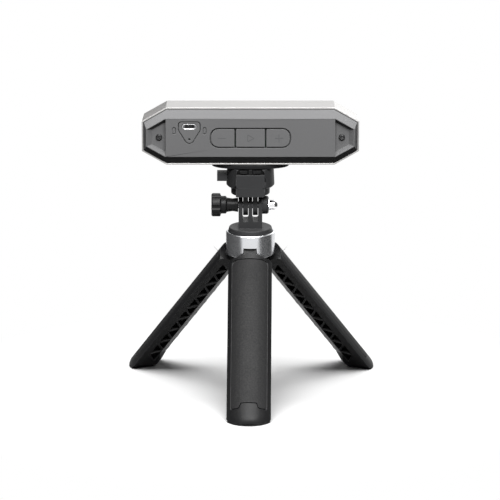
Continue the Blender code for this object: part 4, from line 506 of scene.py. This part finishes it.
# %% Rounding helper
def round_off(name, width, segments=2, angle=24.0):
    """A copy of a node with rounded edges, which stands for the node and rides on its body."""
    mesh = bmesh.new()
    mesh.from_mesh(nodes[name].data)
    bmesh.ops.remove_doubles(mesh, verts=mesh.verts, dist=0.000003)
    bmesh.ops.dissolve_limit(mesh, angle_limit=math.radians(0.5), verts=mesh.verts, edges=mesh.edges,
                             use_dissolve_boundaries=False)
    bmesh.ops.triangulate(mesh, faces=mesh.faces, quad_method="BEAUTY", ngon_method="BEAUTY")
    for face in mesh.faces:
        face.smooth = True
    data = bpy.data.meshes.new(name + "_rounded")
    mesh.to_mesh(data)
    mesh.free()
    data.materials.append(FINISHES[slot_of[name]])
    piece = bpy.data.objects.new(name + "_rounded", data)
    scene.collection.objects.link(piece)
    bevel = piece.modifiers.new("rounded edges", "BEVEL")
    bevel.width = width
    bevel.segments = segments
    bevel.limit_method = "ANGLE"
    bevel.angle_limit = math.radians(angle)
    bevel.use_clamp_overlap = False
    bevel.face_strength_mode = "FSTR_ALL"
    even = piece.modifiers.new("flat faces stay flat", "WEIGHTED_NORMAL")
    even.use_face_influence = True
    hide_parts(name)
    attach(piece, nodes[name]["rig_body"])
    return piece


ROUNDING = {
    "housing_shell": 0.00035, "rear_cover": 0.00012, "port_panel": 0.00010, "socket_shell": 0.00010,
    "button_minus": 0.00012, "button_play": 0.00012, "button_plus": 0.00012,
    "cover_screw_left": 0.00010, "cover_screw_right": 0.00010, "front_panel": 0.0003,
    "mounting_plate": 0.00018, "dovetail_foot": 0.00018, "clamp_body": 0.00025, "release_tab": 0.00025,
    "pivot_mount": 0.00025, "thumb_knob": 0.00030, "acorn_nut": 0.00008, "collar": 0.00025, "hub": 0.0002,
    "grip_panel_front": 0.00018, "grip_panel_right": 0.00018, "grip_panel_left": 0.00018,
    "leg_front": 0.00022, "leg_right": 0.00022, "leg_left": 0.00022,
    "foot_pad_front": 0.00025, "foot_pad_right": 0.00025, "foot_pad_left": 0.00025,
}
rounded_pieces = {name: round_off(name, width) for name, width in ROUNDING.items()}
print("rounded", len(rounded_pieces), "pieces")

# %% [markdown]
# ## Symbols on the buttons
# The buttons carry a minus, a play triangle and a plus, so faint that they only show close up. They are
# thin strips just proud of the button faces. A bar is a cube scaled to size. The triangle starts as one
# face, gets round corners from a bevel on its corner points, and an inset leaves only its outline.

# %% Button symbols
SYMBOL_LINE = 0.00042
SYMBOL_PROUD = 0.00004
SYMBOL_ROOT = 0.0002
SYMBOL_SIZE = 0.0058
SYMBOL_SPACING = 0.0203
SYMBOL_DROP = 0.0002
PLAY_BACK = -0.0021
PLAY_TIP = 0.0030
PLAY_CORNER = 0.0009


def add_bar(mesh, centre, width, height, face):
    """One strip of a symbol; centre is (x, z) and face is the button face's y."""
    middle = Vector((centre[0], face + (SYMBOL_ROOT - SYMBOL_PROUD) / 2, centre[1]))
    size = Matrix.Diagonal((width, SYMBOL_ROOT + SYMBOL_PROUD, height, 1.0))
    bmesh.ops.create_cube(mesh, size=1.0, matrix=Matrix.Translation(middle) @ size)


def finish_symbol(mesh, name, body):
    bmesh.ops.recalc_face_normals(mesh, faces=mesh.faces)
    data = bpy.data.meshes.new(name)
    mesh.to_mesh(data)
    mesh.free()
    data.materials.append(symbol_grey)
    piece = bpy.data.objects.new(name, data)
    scene.collection.objects.link(piece)
    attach(piece, body)
    return piece


key_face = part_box("button_play")[0].y
key_z = sum(corner.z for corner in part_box("button_play")) / 2 - SYMBOL_DROP
minus_x, plus_x = AXIS.x - SYMBOL_SPACING, AXIS.x + SYMBOL_SPACING
half_size = SYMBOL_SIZE / 2

mesh = bmesh.new()
add_bar(mesh, (minus_x, key_z), SYMBOL_SIZE, SYMBOL_LINE, key_face)
minus_symbol = finish_symbol(mesh, "symbol_minus", "minus_key")

mesh = bmesh.new()
add_bar(mesh, (plus_x, key_z), SYMBOL_SIZE, SYMBOL_LINE, key_face)
for side in (-1, 1):
    add_bar(mesh, (plus_x, key_z + side * (half_size + SYMBOL_LINE / 2) / 2), SYMBOL_LINE,
            half_size - SYMBOL_LINE / 2, key_face)
plus_symbol = finish_symbol(mesh, "symbol_plus", "plus_key")

mesh = bmesh.new()
tips = [mesh.verts.new((AXIS.x + x, key_face + SYMBOL_ROOT, key_z + z))
        for x, z in ((PLAY_BACK, half_size), (PLAY_BACK, -half_size), (PLAY_TIP, 0.0))]
mesh.faces.new(tips)
bmesh.ops.bevel(mesh, geom=mesh.verts[:], offset=PLAY_CORNER, segments=5, profile=0.5, affect="VERTICES",
                material=-1)
bmesh.ops.inset_region(mesh, faces=mesh.faces[:], thickness=SYMBOL_LINE, use_even_offset=True,
                       use_boundary=True)
middle_face = max(mesh.faces, key=lambda face: len(face.verts))
bmesh.ops.delete(mesh, geom=[middle_face], context="FACES_ONLY")
walls = bmesh.ops.extrude_face_region(mesh, geom=mesh.faces[:], use_keep_orig=True)
bmesh.ops.translate(mesh, vec=(0.0, -SYMBOL_ROOT - SYMBOL_PROUD, 0.0),
                    verts=[part for part in walls["geom"] if isinstance(part, bmesh.types.BMVert)])
play_symbol = finish_symbol(mesh, "symbol_play", "play_key")
print([piece.name for piece in (minus_symbol, play_symbol, plus_symbol)])

# %% [markdown]
# ## Floor
# The floor is plain and white. Close to the object it is a real surface that catches the soft shadow.
# Further out it fades into plain white, so that no horizon shows and the metal reflects a white room.
# Light that the floor would throw back on to the object is kept low, because the undersides are dark.

# %% Floor
FLOOR_RADIUS = 14.0
SHADOW_ZONE = 0.12
FADE_END = 0.24

mesh = bmesh.new()
bmesh.ops.create_circle(mesh, cap_ends=True, segments=96, radius=FLOOR_RADIUS)
data = bpy.data.meshes.new("floor")
mesh.to_mesh(data)
mesh.free()
floor = bpy.data.objects.new("floor", data)
scene.collection.objects.link(floor)
floor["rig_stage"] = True

paper = bpy.data.materials.new("floor paper")
paper.use_nodes = True
tree = paper.node_tree
tree.nodes.clear()
ray = add_node(tree, "ShaderNodeLightPath").outputs
place = add_node(tree, "ShaderNodeTexCoord").outputs["Object"]
oval = add_node(tree, "ShaderNodeMapping", {"Vector": place, "Scale": (1.0, 1.15, 1.0)})
distance = add_node(tree, "ShaderNodeVectorMath", {0: oval.outputs[0]}, operation="LENGTH").outputs["Value"]
fade = spread(tree, distance, SHADOW_ZONE, FADE_END)
fibres = add_node(tree, "ShaderNodeTexNoise", {"Vector": place, "Scale": 900.0, "Detail": 4.0})
shade = spread(tree, fibres.outputs[0], 0.3, 0.7, 0.90, 0.93)
near_colour = add_node(tree, "ShaderNodeCombineColor", {0: shade, 1: shade, 2: shade})
near = add_node(tree, "ShaderNodeBsdfDiffuse", {"Color": near_colour.outputs[0]})
far = add_node(tree, "ShaderNodeEmission", {"Color": (1.0, 1.0, 1.0, 1.0), "Strength": 1.0})
seen = add_node(tree, "ShaderNodeMixShader", {0: fade, 1: near.outputs[0], 2: far.outputs[0]})
dark = add_node(tree, "ShaderNodeBsdfDiffuse", {"Color": (0.01, 0.01, 0.01, 1.0)})
whole = add_node(tree, "ShaderNodeMixShader", {0: ray["Is Diffuse Ray"], 1: seen.outputs[0],
                                               2: dark.outputs[0]})
leave = tree.nodes.new("ShaderNodeOutputMaterial")
tree.links.new(whole.outputs[0], leave.inputs["Surface"])
data.materials.append(paper)
print("floor radius", FLOOR_RADIUS, "m, shadow zone", SHADOW_ZONE, "m, fading out at", FADE_END, "m")

# %% [markdown]
# ## Room
# The room is white to the eye and to reflections, and a dim grey for scattered light. So the background
# is white without washing the object out.

# %% World
world = bpy.data.worlds.new("studio")
scene.world = world
world.use_nodes = True
tree = world.node_tree
tree.nodes.clear()
ray = add_node(tree, "ShaderNodeLightPath").outputs
sees = sum_up(tree, "MAXIMUM", ray["Is Camera Ray"], sum_up(tree, "MAXIMUM", ray["Is Glossy Ray"],
                                                           ray["Is Transmission Ray"]))
dim = add_node(tree, "ShaderNodeBackground", {"Color": (1.0, 1.0, 1.0, 1.0), "Strength": 0.015})
white = add_node(tree, "ShaderNodeBackground", {"Color": (1.0, 1.0, 1.0, 1.0), "Strength": 1.0})
mixed = add_node(tree, "ShaderNodeMixShader", {0: sees, 1: dim.outputs[0], 2: white.outputs[0]})
leave = tree.nodes.new("ShaderNodeOutputWorld")
tree.links.new(mixed.outputs[0], leave.inputs["Surface"])
print("world ready")

# %% [markdown]
# ## Lamps
# Four large soft lamps stand round the object. The key lamp is in front and high, so it lights the
# upper bevel most, the rear cover less, and the lower bevel hardly at all. Its light leaves the floor
# out, so that no shadow falls away behind the legs. One lamp hangs overhead and makes the soft shadow
# under the object, and two weak ones fill from behind. A lamp's brightness is given as radiance, and its
# power follows from its area.

# %% Lamps
def hang_lamp(name, turn, lift, distance, size, radiance, target=AXIS + Vector((0.0, 0.0, 0.12))):
    """An area lamp; turn is the angle from the front towards the right, and lift is its height angle."""
    lamp_data = bpy.data.lights.new(name, "AREA")
    lamp_data.shape = "RECTANGLE"
    lamp_data.size, lamp_data.size_y = size
    lamp_data.energy = radiance * math.pi * size[0] * size[1]
    lamp = bpy.data.objects.new(name, lamp_data)
    turn, lift = math.radians(turn), math.radians(lift)
    away = Vector((math.sin(turn) * math.cos(lift), -math.cos(turn) * math.cos(lift), math.sin(lift)))
    lamp.location = target + away * distance
    lamp.rotation_euler = away.to_track_quat("Z", "Y").to_euler()
    lamp.visible_camera = False
    scene.collection.objects.link(lamp)
    return lamp


key = hang_lamp("key lamp", 8.0, 47.0, 1.6, (1.5, 0.36), 25.5)
overhead = hang_lamp("overhead lamp", 0.0, 86.0, 1.4, (1.3, 1.1), 8.0)
back_right = hang_lamp("back right lamp", 152.0, 22.0, 1.5, (0.7, 0.8), 1.4)
back_left = hang_lamp("back left lamp", -140.0, 38.0, 1.6, (0.8, 0.8), 1.0)
unlit = bpy.data.collections.new("not lit by the key lamp")
unlit.objects.link(floor)
key.light_linking.receiver_collection = unlit
unlit.collection_objects[0].light_linking.link_state = "EXCLUDE"
print([(lamp.name, round(lamp.data.energy, 1)) for lamp in (key, overhead, back_right, back_left)])

# %% [markdown]
# ## Dark cards
# A polished ring in an all-white room looks flat. Photographers stand dark cards beside the camera, so
# that the ring reflects them as dark flanks with a bright band between. The cards here are curved walls
# that only reflections see.

# %% Dark cards
def stand_card(name, start, end, grey, radius=0.24, low=0.0005, high=0.30):
    """A curved card round the object; start and end are angles from the front towards the right."""
    mesh = bmesh.new()
    turn = math.radians(start)
    spot = AXIS + Vector((math.sin(turn), -math.cos(turn), 0.0)) * radius
    ends = [mesh.verts.new(spot + Vector((0.0, 0.0, z))) for z in (low, high)]
    edge = mesh.edges.new(ends)
    bmesh.ops.spin(mesh, geom=ends + [edge], cent=AXIS, axis=(0.0, 0.0, 1.0),
                   angle=math.radians(end - start), steps=24, use_merge=False, use_duplicate=False)
    data = bpy.data.meshes.new(name)
    mesh.to_mesh(data)
    mesh.free()
    material = bpy.data.materials.new(name)
    material.use_nodes = True
    card_tree = material.node_tree
    card_tree.nodes.clear()
    glow = add_node(card_tree, "ShaderNodeEmission", {"Color": (grey, grey, grey, 1.0), "Strength": 1.0})
    exit_node = card_tree.nodes.new("ShaderNodeOutputMaterial")
    card_tree.links.new(glow.outputs[0], exit_node.inputs["Surface"])
    data.materials.append(material)
    card = bpy.data.objects.new(name, data)
    card.visible_camera = False
    card.visible_diffuse = False
    card.visible_shadow = False
    card.visible_transmission = False
    scene.collection.objects.link(card)
    card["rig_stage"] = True
    return card


cards = [stand_card("card right", 42.0, 118.0, 0.08), stand_card("card left", -158.0, -42.0, 0.08)]
print([card.name for card in cards])

# %% [markdown]
# ## Compare the sizes
# The finished pieces must fill the same box as the imported model. The difference between the two boxes
# is printed in millimetres.

# %% Sizes
low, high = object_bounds()
grown = (high - low) - (cad_high - cad_low)
print("visual minus cad, mm:", [round(1000 * length, 3) for length in grown])
